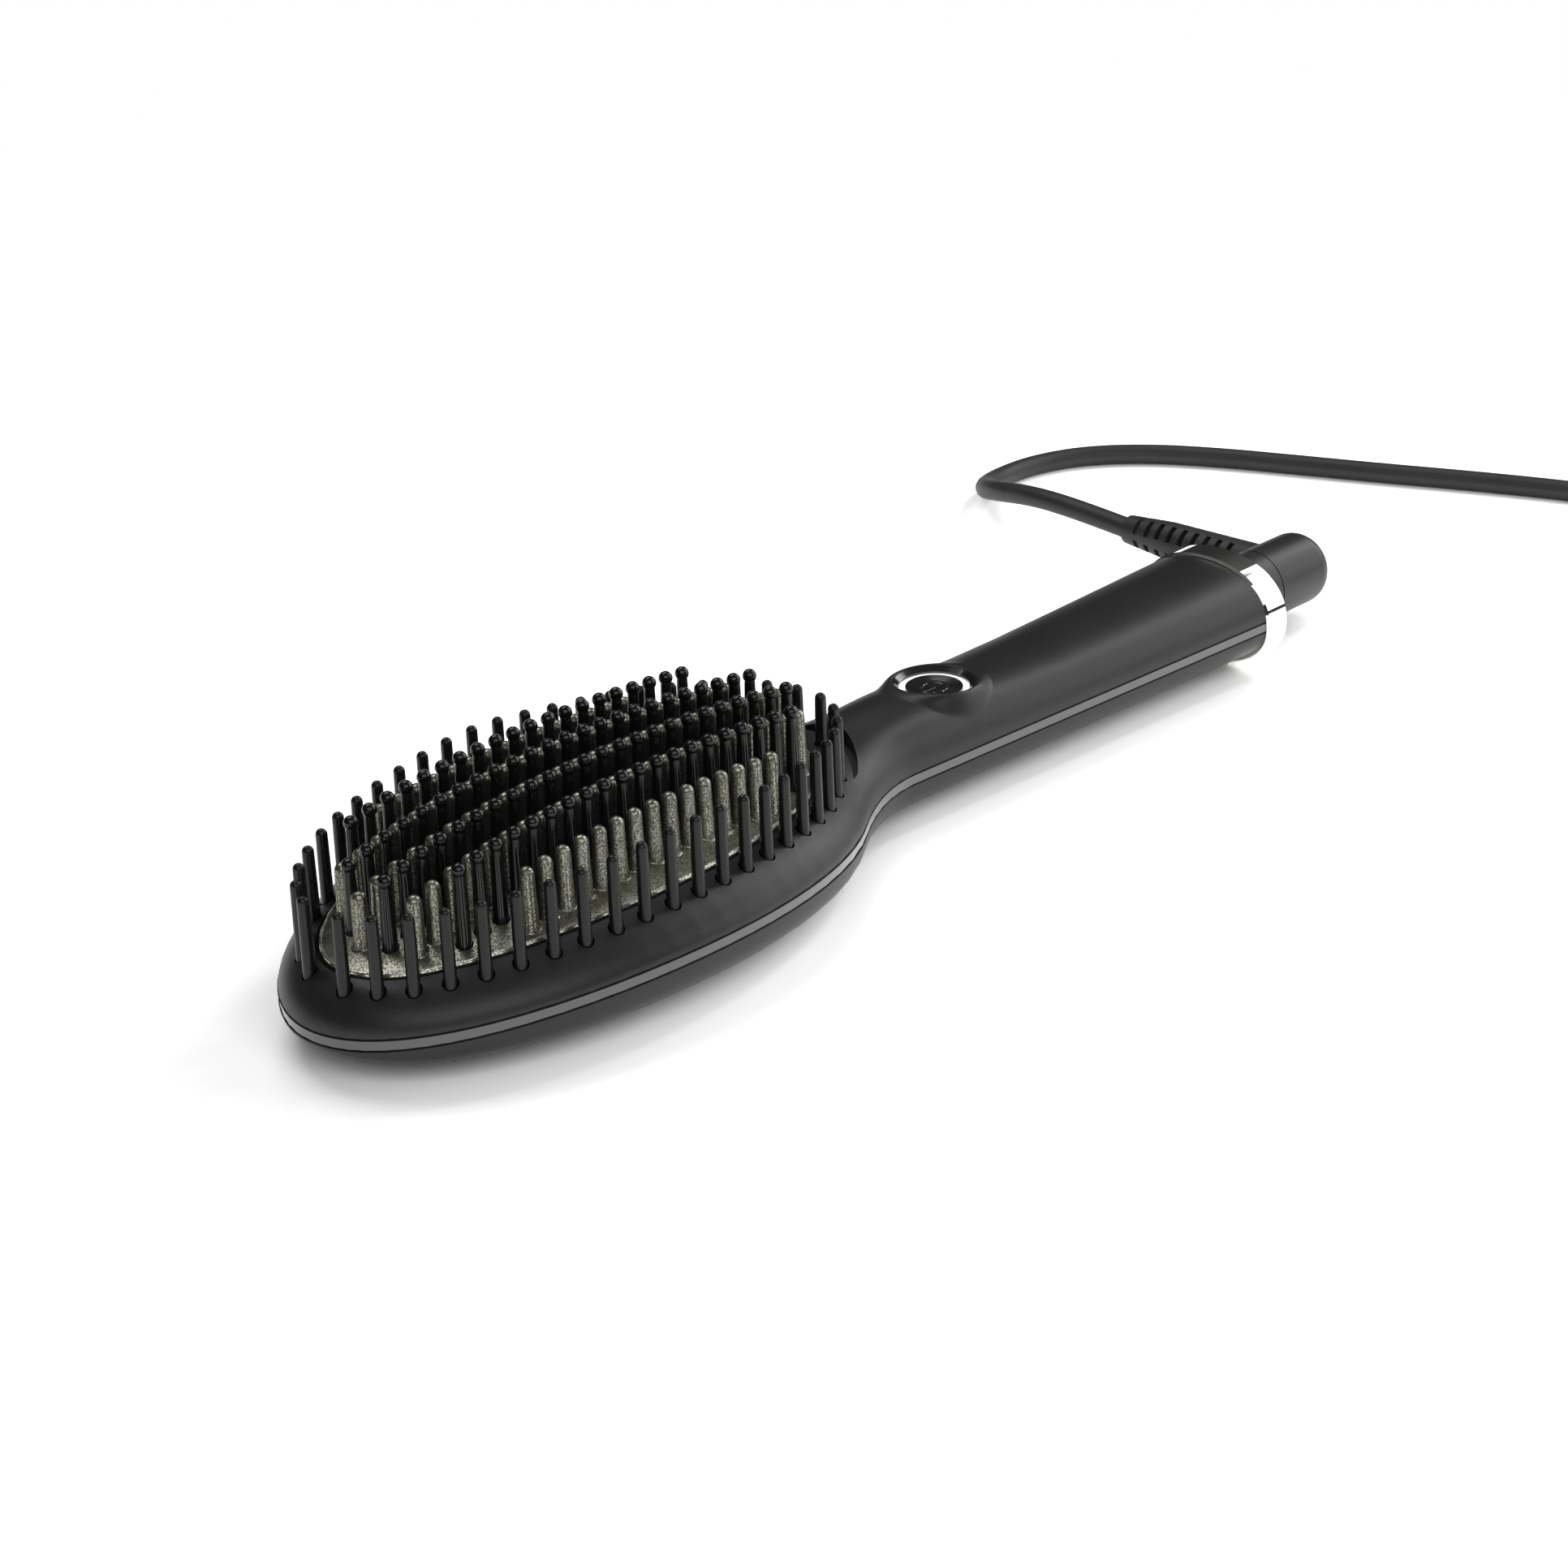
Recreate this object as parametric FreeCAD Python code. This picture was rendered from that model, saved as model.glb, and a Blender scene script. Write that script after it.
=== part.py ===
import FreeCAD, Part
import math
import os

# Heated hair straightening brush with a swivel cord, lying on its back, bristles up.
# Millimetres. Stations x run from the middle of the bristle field towards the cord end;
# FIELD_X moves them into the part's frame, whose origin is under the middle of the brush.
# +X runs from the head to the cord end, +Z is up, and the brush mirrors across y = 0.

V = FreeCAD.Vector
UP = V(0, 0, 1)
ALONG = V(1, 0, 0)
ACROSS = V(0, 1, 0)

# ---- body
HEAD_TIP = 66.4               # from the middle of the bristle field to the head's tip
HEAD_NECK = 67.4              # the same half length for the ellipse of the neck side
HEAD_HALF_WIDTH = 37.7
NECK_START = 52.9             # the head's ellipse ends here and the neck's fillet starts
NECK_END = 79.0
NECK_HALF_WIDTH = 12.8
HANDLE_END = 187.4
HANDLE_HALF_WIDTH = 17.0      # at the end of the handle
PARTING_MID = 15.0            # height of the parting line at the middle of the head
PARTING_TIP = 10.0
PARTING_HANDLE = 12.9
NECK_RISE = 81.0              # station where the parting line becomes level
BAND_HEIGHT = 2.2
BAND_WALL = 1.6
SEAM = 0.05
WALL = 2.0
HEAD_CROWN = 2.0              # superellipse power of the upper section on the head
HANDLE_CROWN = 2.2
BOWL_POWER = 2.5              # superellipse power of the lower section on the head
HANDLE_BOWL_POWER = 2.2
CROWN_BLEND = (40.0, 35.0)    # the powers change from this station over this length
CREST = [(-75.0, 15.2), (-60.6, 18.3), (-48.3, 21.8), (-30.8, 24.8), (0.0, 26.8), (30.8, 26.0),
         (49.0, 23.5), (60.3, 22.7), (70.0, 22.9), (79.0, 23.6), (100.0, 23.6), (118.0, 22.9),
         (150.0, 23.1), (190.0, 23.7)]
KEEL = [(-80.0, 6.0), (-50.0, 1.4), (-25.0, 0.0), (0.0, -0.2), (25.0, -0.2), (45.0, 0.3),
        (62.0, 1.3), (80.0, 2.0), (120.0, 2.2), (190.0, 2.0)]
CREST_ROLL = 8.0              # length over which the crest rolls down to the tip
KEEL_ROLL = 14.0
STEP_FLOOR = 19.6             # the crescent step between the deck and the neck
STEP_RADIUS = 30.0            # of the two arcs that meet at its point
STEP_CENTRE = (41.5, 9.05)
STEP_MARGIN = 3.0             # from the guard pins to the step

# ---- bristle field
PIN_PITCH = 4.38
FIELD_SHIFT = 0.28            # the rows are centred this far towards the neck
BALL_ROWS = [(-14.96, 20), (-5.02, 24), (5.02, 24), (14.96, 20)]
BALL_HEIGHT = 41.4            # centre of the highest ball
BALL_RADIUS = 1.4
BALL_NECK_RADIUS = 1.05
BALL_FOOT_RADIUS = 1.45
PIN_HOLE_RADIUS = 1.65
FIN_ROWS = [(0.0, 25, 1.9), (10.0, 23, 2.55), (20.2, 15, 4.2)]  # y, count, height below the balls
FIN_FOOT_RADIUS = 1.85
FIN_RADIUS = 1.62
FIN_TIP_RADIUS = 1.45
GUARD_COUNT = 46
GUARD_X = 0.24
GUARD_LONG = 61.9
GUARD_SHORT = 30.9
GUARD_GAP = 1.78              # extra step between the two pins at the tip, halved
GUARD_RADIUS = 1.26
GUARD_TIP_RADIUS = 1.12
GUARD_HOLE_RADIUS = 1.56
GUARD_TIPS = [(-62.0, 32.4), (-54.0, 32.9), (-37.0, 34.2), (-18.0, 35.7), (1.0, 37.1), (20.0, 35.9),
              (39.0, 34.9), (55.0, 33.8), (62.0, 33.5)]      # (station, height of the pin's top)
CARRIER_BOTTOM = 10.2
CARRIER_TOP = 11.8
CARRIER_HALF_WIDTH = 1.4
CARRIER_BULGE = 1.2           # the carrier is this much wider past the case screws
PEG_RADIUS = 0.8              # foot of a guard pin, pressed into the carrier
PEG_LENGTH = 1.2

# ---- heater casting and what holds it
PLATE_X = -0.4
PLATE_LONG = 58.05
PLATE_SHORT = 27.45
PLATE_PROUD = 0.35
PLATE_THICK = 3.0
GASKET_WIDTH = 0.8
GASKET_SUNK = 0.5
STRIP_HALF_WIDTH = 2.2
STRIP_BOTTOM = 11.45
STRIP_TOP = 13.4
HEATER_Y = 10.0
HEATER_HALF_WIDTH = 2.4
HEATER_HALF_LENGTH = 38.0
HEATER_BOTTOM = 12.9
HEATER_TOP = 15.0
FRAME_LONG = 62.0
FRAME_SHORT = 33.2
FRAME_BOTTOM = 8.6
FRAME_TOP = 11.4
FRAME_SCREW_X = 34.0
FRAME_CORE_LONG = 56.0        # the raised middle, under the strips
FRAME_CORE_SHORT = 23.2
SHIELD_THICK = 0.5
SHIELD_LONG = 52.0
SHIELD_SHORT = 22.5

# ---- button
BUTTON_X = 98.3
POD_RADIUS = 9.3
POD_TOP = 23.2
POD_SKIRT = (11.3, 19.4)      # radius and height at the foot of its hollow flank
POD_FOOT = 17.8
BEZEL_RADIUS = 8.6
GUIDE_RADIUS = 7.3
GUIDE_TOP = 21.9
BUTTON_RADIUS = 5.95
BUTTON_TOP = 22.2
BUTTON_TRAVEL = 0.7
POD_FLOOR = 18.0
BEZEL_BOTTOM = 17.0
RIM_START = 22.3              # where the bezel's rim begins to open
LEG_OFFSET = 6.75             # from the button's axis to the light guide's legs and the lamps
LEG_RADIUS = 0.5
LEG_BOTTOM = 14.2
CAP_BOTTOM = 20.3
DISH_RADIUS = 40.0
DISH_DEPTH = 0.4
STEM_BOTTOM = 16.3
STEM_FOOT = (3.0, 0.6)        # radius and height
STEM_RADIUS = 2.2
SPRING_RADIUS = 3.6
SPRING_WIRE = 0.2

# ---- circuit board
BOARD_START = 84.0
BOARD_END = 164.0
BOARD_HALF_WIDTH = 8.0
BOARD_BOTTOM = 11.2
BOARD_TOP = 12.8
BOARD_SCREWS = [(87.0, 5.2), (161.0, -5.2)]
SWITCH_TOP = 14.8
LEAD_RADIUS = 0.8
HEATER_LEADS = (54.0, 83.9, 6.4, 13.0)    # start, end, distance from the middle, height
MAINS_LEADS = (164.1, 206.4, 1.5, 11.8)

# ---- screws that close the case: (x, y)
CASE_SCREWS = [(4.28, 29.9), (4.28, -29.9), (78.0, 0.0), (175.0, 6.0), (175.0, -6.0)]
POST_RADIUS = 1.4
POST_FOOT = 8.0
SOCKET_WALL = 1.6
SCREW_HEAD_RADIUS = 1.7
SCREW_HEAD_HEIGHT = 1.3
SCREW_RADIUS = 0.75
SCREW_HEAD_TOP = 6.3
SCREW_TIP = 14.5

# ---- metal ring, collar and cord swivel
RING_LENGTH = 7.0
RING_HALF_WIDTH = 17.8
RING_TOP = 24.3
RING_MIDDLE = 11.4
SWIVEL_Z = 11.8
COLLAR_RADIUS = 8.3
COLLAR_END = 205.4
FLANGE_RADIUS = 10.4
FLANGE_THICK = 2.55
SPIGOT_RADIUS = 5.5
SPIGOT_END = 210.0
SPIGOT_BORE = 3.2
RETAINER_RADIUS = 6.3
RETAINER_THICK = 1.2
CONTACT_START = 211.3
CONTACT_LENGTH = 1.6
CONTACT_RADIUS = 0.7
SLIP_RING_START = 213.2
SLIP_RING_RADIUS = 6.7
SLIP_RING_THICK = 1.2
RUNNING_FIT = 0.06
BARREL_START = 205.7
BARREL_END = 225.4
BARREL_ROUNDING = 5.5
CAVITY_RADIUS = 6.8
CAVITY_START = 209.6
CAVITY_END = 219.8
OUTLET_X = 216.0
OUTLET_RADIUS = 3.1
RELIEF_MOUTH = 45.0
RELIEF_PROFILE = [(5.0, 5.0), (9.0, 4.95), (33.0, 4.5), (45.0, 3.4)]   # (y, radius)
RELIEF_SLOTS = 9
SLOT_START = 12.6
SLOT_PITCH = 3.4
SLOT_WIDTH = 1.4

# ---- cord
CORD_DIAMETER = 5.0
CORD_RADIUS = CORD_DIAMETER / 2.0
CORD_ROUTE = [(216.0, 45.0, 11.8), (216.0, 59.0, 12.2), (217.0, 74.0, 10.9), (220.5, 89.0, 7.6),
              (228.5, 101.5, 4.4), (241.0, 109.2, 2.7), (255.5, 110.0, 2.5), (269.5, 104.5, 2.5),
              (281.0, 93.0, 2.5), (290.0, 77.5, 2.5), (298.0, 59.0, 2.5), (306.5, 38.5, 2.5),
              (316.5, 16.5, 2.5), (325.5, -6.0, 2.5), (331.6, -26.5, 2.7), (333.6, -43.0, 3.2)]
COIL_X = 373.4
COIL_Y = -45.0
COIL_MEAN_RADIUS = 30.0
COIL_PITCH = 5.1
COIL_TURNS = 3.75             # in each of the two layers
TIE_THICK = 0.8
TIE_HALF_WIDTH = 6.0
TIE_ANGLE = 235.0
TAIL_ROUTE = [(411.6, -55.5, 8.1), (414.8, -43.6, 7.7), (419.4, -31.6, 7.1), (423.3, -19.6, 6.85)]
PLUG_DIRECTION = 72.0         # degrees from +X
PLUG_HALF_THICK = 6.85
PLUG_HALF_WIDTH = 17.6
PLUG_BOOT = 16.0
PLUG_BODY = 34.0
PLUG_PIN_RADIUS = 2.0
PLUG_PIN_LENGTH = 19.0
PLUG_PIN_SPACING = 18.6

FIELD_X = -(BARREL_END - HEAD_TIP) / 2.0


# ---------------------------------------------------------------- laws of the outer shape
def ease(t):
    """Smooth step from 0 to 1."""
    t = min(max(t, 0.0), 1.0)
    return t * t * (3.0 - 2.0 * t)


def slope_at(points, k):
    """Slope of a smooth curve at its point k, from the slopes on either side."""
    def slope(a, b):
        return (points[b][1] - points[a][1]) / (points[b][0] - points[a][0])
    if k == 0:
        return slope(0, 1)
    if k == len(points) - 1:
        return slope(k - 1, k)
    before = points[k][0] - points[k - 1][0]
    after = points[k + 1][0] - points[k][0]
    return (slope(k - 1, k) * after + slope(k, k + 1) * before) / (before + after)


def hermite(t, z0, m0, z1, m1):
    """Cubic from z0 to z1 with end slopes m0 and m1 per unit of t."""
    return ((2 * t ** 3 - 3 * t ** 2 + 1) * z0 + (t ** 3 - 2 * t ** 2 + t) * m0
            + (3 * t ** 2 - 2 * t ** 3) * z1 + (t ** 3 - t ** 2) * m1)


def curve(points, x):
    """Height at x of the smooth curve through (station, height) points."""
    k = 0
    while k < len(points) - 2 and x > points[k + 1][0]:
        k += 1
    span = points[k + 1][0] - points[k][0]
    return hermite((x - points[k][0]) / span, points[k][1], slope_at(points, k) * span,
                   points[k + 1][1], slope_at(points, k + 1) * span)


def half_width(x, inset=0.0):
    """Half width of the body: an ellipse, a fillet into the neck and a taper."""
    if x < 0:
        return (HEAD_HALF_WIDTH - inset) * math.sqrt(max(1 - (x / (HEAD_TIP - inset)) ** 2, 0.0))
    if x < NECK_START:
        return HEAD_HALF_WIDTH * math.sqrt(1 - (x / HEAD_NECK) ** 2) - inset
    taper = (HANDLE_HALF_WIDTH - NECK_HALF_WIDTH) / (HANDLE_END - NECK_END)
    if x > NECK_END:
        return NECK_HALF_WIDTH + taper * (x - NECK_END) - inset
    root = math.sqrt(1 - (NECK_START / HEAD_NECK) ** 2)
    fall = -HEAD_HALF_WIDTH * NECK_START / HEAD_NECK ** 2 / root
    span = NECK_END - NECK_START
    return hermite((x - NECK_START) / span, HEAD_HALF_WIDTH * root, fall * span,
                   NECK_HALF_WIDTH, taper * span) - inset


def parting(x):
    """Height of the parting line."""
    if x < 0:
        return PARTING_MID - (PARTING_MID - PARTING_TIP) * (x / HEAD_TIP) ** 2
    return PARTING_MID - (PARTING_MID - PARTING_HANDLE) * ease(x / NECK_RISE)


def tip_roll(x, length, inset):
    """Quarter ellipse: 0 at the tip, 1 from the given length on."""
    t = (length - HEAD_TIP - x) / (length - inset)
    t = min(max(t, 0.0), 1.0)
    return math.sqrt(1 - t * t)


def crown_rise(x, inset=0.0):
    """Height of the crest above the parting line."""
    return (curve(CREST, x) - inset - parting(x)) * tip_roll(x, CREST_ROLL, inset)


def keel_drop(x, inset=0.0):
    """Depth of the keel below the trim band."""
    return (parting(x) - BAND_HEIGHT - inset - curve(KEEL, x)) * tip_roll(x, KEEL_ROLL, inset)


def crown_power(x):
    """Superellipse power of the upper section."""
    return HEAD_CROWN - (HEAD_CROWN - HANDLE_CROWN) * ease((x - CROWN_BLEND[0]) / CROWN_BLEND[1])


def bowl_power(x):
    """Superellipse power of the lower section."""
    return BOWL_POWER - (BOWL_POWER - HANDLE_BOWL_POWER) * ease((x - CROWN_BLEND[0]) / CROWN_BLEND[1])


def top_height(x, y):
    """Height of the upper surface over a place in plan."""
    power = crown_power(x)
    ratio = min(abs(y) / half_width(x), 1.0)
    return parting(x) + crown_rise(x) * (1 - ratio ** power) ** (1 / power)


def ball_height(x):
    """Height of the ball centres in the two middle rows."""
    d = x - 4.3
    if d < 0:
        return BALL_HEIGHT - 0.001542 * d * d - 2.73e-7 * d ** 4
    return BALL_HEIGHT - 0.00134 * d * d


# ---------------------------------------------------------------- building helpers
def cylinder(radius, height, x, y, z, axis=UP):
    """Cylinder from the middle of its base."""
    return Part.makeCylinder(radius, height, V(x, y, z), axis)


def block(x0, x1, y0, y1, z0, z1):
    """Box between two corners."""
    return Part.makeBox(x1 - x0, y1 - y0, z1 - z0, V(x0, y0, z0))


def oval(long_half, short_half, z0, z1, x=0.0):
    """Upright elliptic prism."""
    edge = Part.Ellipse(V(x, 0, z0), long_half, short_half).toShape()
    return Part.Face(Part.Wire([edge])).extrude(V(0, 0, z1 - z0))


def spun(x, y, profile, mid=None):
    """Solid turned about a vertical axis; the profile's last span is an arc through mid."""
    points = [V(x + r, y, z) for r, z in profile]
    edges = [Part.LineSegment(a, b).toShape() for a, b in zip(points[:-2], points[1:-1])]
    if mid:
        arc = Part.Arc(points[-2], V(x + mid[0], y, mid[1]), points[-1])
        edges.append(arc.toShape())
    else:
        edges.append(Part.LineSegment(points[-2], points[-1]).toShape())
    edges.append(Part.LineSegment(points[-1], points[0]).toShape())
    return Part.Face(Part.Wire(edges)).revolve(V(x, y, 0), UP, 360)


def turned_along(profile, start, axis):
    """Stack of cone frustums along an axis from (distance, radius) points."""
    result = None
    for (a, ra), (b, rb) in zip(profile[:-1], profile[1:]):
        base = start + axis * a
        if abs(ra - rb) < 1e-6:
            piece = Part.makeCylinder(ra, b - a, base, axis)
        else:
            piece = Part.makeCone(ra, rb, b - a, base, axis)
        result = piece if result is None else result.fuse(piece)
    return result.removeSplitter()


def stations(first, last):
    """Stations of a loft: close together at the tip and round the neck."""
    tip_length = 26.0
    tip_steps = 11
    result = [first + tip_length * (k / tip_steps) ** 2 for k in range(tip_steps)]
    x = first + tip_length
    while x < last - 6.0:
        result.append(x)
        x += 6.0 if x < 48.0 else (4.0 if x < 84.0 else 14.0)
    result.append(last)
    return result


def arch(x, width, rise, power, base, skirt):
    """Closed section: a superellipse arch over a chord, with straight legs of length skirt.

    A negative rise hangs the arch below the chord.
    """
    steps = 16
    points = []
    for k in range(steps + 1):
        angle = math.pi * k / steps
        c = abs(math.cos(angle))
        s = math.sin(angle) if 0 < k < steps else 0.0
        reach = (c ** power + s ** power) ** (-1 / power)
        points.append(V(x, -width * math.cos(angle) * reach, base + rise * s * reach))
    line = Part.BSplineCurve()
    line.interpolate(Points=points, Parameters=[k / steps for k in range(steps + 1)])
    edges = [line.toShape()]
    foot = base - math.copysign(skirt, rise)
    corners = [points[-1], V(x, points[-1].y, foot), V(x, points[0].y, foot), points[0]]
    if not skirt:
        corners = [points[-1], points[0]]
    edges += [Part.LineSegment(a, b).toShape() for a, b in zip(corners[:-1], corners[1:])]
    return Part.Wire(edges)


def upper_section(x, inset, skirt):
    """Section of the body above the parting line."""
    return arch(x, half_width(x, inset), crown_rise(x, inset), crown_power(x), parting(x), skirt)


def upper_body(inset=0.0, skirt=0.0, last=HANDLE_END):
    """Everything of the body above the parting line, inset by a wall."""
    places = stations(-HEAD_TIP + inset + 0.06, last)
    return Part.makeLoft([upper_section(x, inset, skirt) for x in places], True, True)


def deck_body(inset, skirt=0.0):
    """The same over the heater only, as one smooth surface."""
    places = [-60.0 + 8.0 * k for k in range(16)]
    return Part.makeLoft([upper_section(x, inset, skirt) for x in places], True, False)


def lower_body(inset=0.0, skirt=0.0, last=HANDLE_END):
    """Everything of the body below the trim band, inset by a wall."""
    places = stations(-HEAD_TIP + inset + 0.06, last)
    return Part.makeLoft([arch(x, half_width(x, inset), -keel_drop(x, inset), bowl_power(x),
                               parting(x) - BAND_HEIGHT, skirt) for x in places], True, True)


def band_body(inset, grow, last=HANDLE_END):
    """Slab of the trim band's height, inset in plan and grown up and down."""
    wires = []
    for x in stations(-HEAD_TIP + inset + 0.06, last):
        w = half_width(x, inset)
        top = parting(x) + grow
        low = parting(x) - BAND_HEIGHT - grow
        corners = [V(x, -w, low), V(x, w, low), V(x, w, top), V(x, -w, top), V(x, -w, low)]
        wires.append(Part.makePolygon(corners))
    return Part.makeLoft(wires, True, True)


def row_stations(count):
    """Stations of a row of bristles, centred on the field."""
    start = FIELD_SHIFT - PIN_PITCH * (count - 1) / 2
    return [start + PIN_PITCH * k for k in range(count)]


def guard_places():
    """Places of the guard pins: equal steps along each side, from the neck to a wider tip gap."""
    steps = 1800
    walked = 0.0
    last = (GUARD_LONG, 0.0)
    travel = [0.0]
    for k in range(1, steps + 1):
        angle = math.pi * k / steps
        here = (GUARD_LONG * math.cos(angle), GUARD_SHORT * math.sin(angle))
        walked += math.hypot(here[0] - last[0], here[1] - last[1])
        travel.append(walked)
        last = here
    places = []
    k = 0
    half = GUARD_COUNT // 2
    for pin in range(half):
        while travel[k] < (pin + 0.5) / half * (walked - GUARD_GAP):
            k += 1
        angle = math.pi * k / steps
        for side in (1, -1):
            places.append((GUARD_X + GUARD_LONG * math.cos(angle), side * GUARD_SHORT * math.sin(angle)))
    return places


# ---------------------------------------------------------------- casings
def neck_step(grow, floor):
    """Crescent past the guard pins, pointed towards the handle, up from a floor."""
    x, y = STEP_CENTRE
    height = 12.0
    arcs = [cylinder(STEP_RADIUS + grow, height, x, side * y, floor) for side in (1, -1)]
    ring = oval(GUARD_LONG + STEP_MARGIN - grow, GUARD_SHORT + STEP_MARGIN - grow, floor - 1,
                floor + height + 1, GUARD_X)
    return arcs[0].common(arcs[1]).cut(ring)


def button_pod():
    """Round pod of the button, with a hollow flank down to the handle."""
    skirt, height = POD_SKIRT
    middle = (POD_RADIUS + 0.3 * (skirt - POD_RADIUS), height + 0.4 * (POD_TOP - height))
    return spun(BUTTON_X, 0, [(0.0, POD_TOP), (0.0, POD_FOOT), (skirt, POD_FOOT), (skirt, height),
                              (POD_RADIUS, POD_TOP)], middle)


def make_upper_shell():
    """Upper half: deck with the plate opening and pin holes, neck step and button pod."""
    hollow = upper_body(WALL, 2.0, HANDLE_END + 1.0)
    hollow = hollow.cut([neck_step(WALL, STEP_FLOOR - WALL), button_pod()])
    shell = upper_body().fuse(button_pod()).cut(hollow)
    posts = [cylinder(POST_RADIUS, top_height(x, y) - 1.0 - POST_FOOT, x, y, POST_FOOT)
             for x, y in CASE_SCREWS]
    shell = shell.fuse(posts)
    cuts = [oval(PLATE_LONG + GASKET_WIDTH + SEAM, PLATE_SHORT + GASKET_WIDTH + SEAM, 6, 34, PLATE_X),
            neck_step(0.0, STEP_FLOOR),
            cylinder(BEZEL_RADIUS + SEAM, 20, BUTTON_X, 0, 16),
            cylinder(POD_RADIUS + 0.4, 5, BUTTON_X, 0, POD_TOP)]
    cuts += [cylinder(GUARD_HOLE_RADIUS, 10, x, y, top_height(x, y) - 6) for x, y in guard_places()]
    cuts += [cylinder(SCREW_RADIUS + SEAM, 9.0, x, y, POST_FOOT - 1) for x, y in CASE_SCREWS]
    return shell.cut(cuts)


def make_lower_shell():
    """Lower half: bowl and handle back, screw sockets, board posts and a flat to lie on."""
    outer = lower_body()
    shell = outer.cut(lower_body(WALL, 2.0, HANDLE_END + 1.0))
    sockets = [cylinder(SCREW_HEAD_RADIUS + SOCKET_WALL, POST_FOOT - SEAM, x, y, 0).common(outer)
               for x, y in CASE_SCREWS]
    posts = [cylinder(2.0, BOARD_BOTTOM - SEAM - 3.0, x, y, 3.0) for x, y in BOARD_SCREWS]
    shell = shell.fuse(sockets + posts)
    cuts = [cylinder(SCREW_HEAD_RADIUS + 0.3, SCREW_HEAD_TOP + 1.0, x, y, -1.0)
            for x, y in CASE_SCREWS]
    cuts += [cylinder(SCREW_RADIUS + 0.1, 12.0, x, y, -1.0) for x, y in CASE_SCREWS]
    cuts += [cylinder(0.85, 6.0, x, y, 6.0) for x, y in BOARD_SCREWS]
    cuts.append(block(-HEAD_TIP, HANDLE_END, -40, 40, -3, 0))
    return shell.cut(cuts)


def make_trim_band():
    """Band between the two casings, all round the head and along the handle."""
    return band_body(0.0, -SEAM).cut(band_body(BAND_WALL, 2.0, HANDLE_END + 1.0))


def make_case_screws():
    """Screws that close the case from below."""
    head = SCREW_HEAD_TOP - SCREW_HEAD_HEIGHT
    return [cylinder(SCREW_HEAD_RADIUS, SCREW_HEAD_HEIGHT, x, y, head).fuse(
        cylinder(SCREW_RADIUS, SCREW_TIP - SCREW_HEAD_TOP, x, y, SCREW_HEAD_TOP))
        .cut(cylinder(0.8, 0.8, x, y, head)) for x, y in CASE_SCREWS]


# ---------------------------------------------------------------- bristles and heater
def fin(x, y, drop):
    """One bullet-shaped finger of the heater casting."""
    foot = top_height(x, y) - 1.2
    tip = ball_height(x) - drop
    waist = foot + 0.4 * (tip - foot)
    half = FIN_TIP_RADIUS * math.sqrt(0.5)
    profile = [(0.0, foot), (FIN_FOOT_RADIUS, foot), (FIN_RADIUS, waist),
               (FIN_TIP_RADIUS, tip - FIN_TIP_RADIUS), (0.0, tip)]
    return spun(x, y, profile, (half, tip - FIN_TIP_RADIUS + half))


def make_heater_plate():
    """One casting: domed oval plate, fingers in five rows, pads for what heats it."""
    raised = deck_body(-PLATE_PROUD)
    under = deck_body(PLATE_THICK, 6.0)
    plan = oval(PLATE_LONG, PLATE_SHORT, 8, 40, PLATE_X)
    plate = plan.common(raised).cut(under)
    pads = [block(-HEATER_HALF_LENGTH, HEATER_HALF_LENGTH, y - HEATER_HALF_WIDTH,
                  y + HEATER_HALF_WIDTH, HEATER_TOP + SEAM, 30.0) for y in (-HEATER_Y, HEATER_Y)]
    pads.append(block(-30, 30, -2.2, 2.2, 16.0, 30.0))
    pads += [cylinder(2.4, 18.0, x, 0, FRAME_TOP + SEAM)
             for x in (-FRAME_SCREW_X, FRAME_SCREW_X)]
    core = deck_body(PLATE_THICK / 2, 6.0)
    plate = plate.fuse([pad.common(core) for pad in pads])
    fins = []
    for y, count, drop in FIN_ROWS:
        for side in ((1,) if y == 0 else (-1, 1)):
            fins += [fin(x, side * y, drop) for x in row_stations(count)]
    plate = plate.fuse(fins)
    holes = [cylinder(PIN_HOLE_RADIUS, 20, x, y, 11) for y, count in BALL_ROWS
             for x in row_stations(count)]
    holes += [cylinder(1.25, 4.5, x, 0, FRAME_TOP) for x in (-FRAME_SCREW_X, FRAME_SCREW_X)]
    return plate.cut(holes)


def make_gasket():
    """Silicone seal between the casting and the deck."""
    outer = oval(PLATE_LONG + GASKET_WIDTH, PLATE_SHORT + GASKET_WIDTH, 8, 40, PLATE_X)
    inner = oval(PLATE_LONG + SEAM, PLATE_SHORT + SEAM, 7, 41, PLATE_X)
    return outer.cut(inner).common(deck_body(GASKET_SUNK)).cut(deck_body(PLATE_THICK, 6.0))


def ball_pin(x, y, drop):
    """Nylon pin with a ball end, standing on its strip."""
    ball = ball_height(x) - drop
    reach = math.sqrt(BALL_RADIUS ** 2 - BALL_NECK_RADIUS ** 2)
    foot = STRIP_TOP - 0.5
    profile = [(0.0, foot), (BALL_FOOT_RADIUS, foot), (BALL_FOOT_RADIUS, top_height(x, y) + 0.6),
               (BALL_NECK_RADIUS, ball - reach), (0.0, ball + BALL_RADIUS)]
    return spun(x, y, profile, (BALL_RADIUS, ball))


def make_ball_strip(y, count):
    """One row of ball pins on its strip under the casting."""
    places = row_stations(count)
    drop = 0.35 if abs(y) > HEATER_Y else 0.0
    bar = block(places[0] - 2.2, places[-1] + 2.2, y - STRIP_HALF_WIDTH, y + STRIP_HALF_WIDTH,
                STRIP_BOTTOM, STRIP_TOP)
    return bar.fuse([ball_pin(x, y, drop) for x in places])


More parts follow.
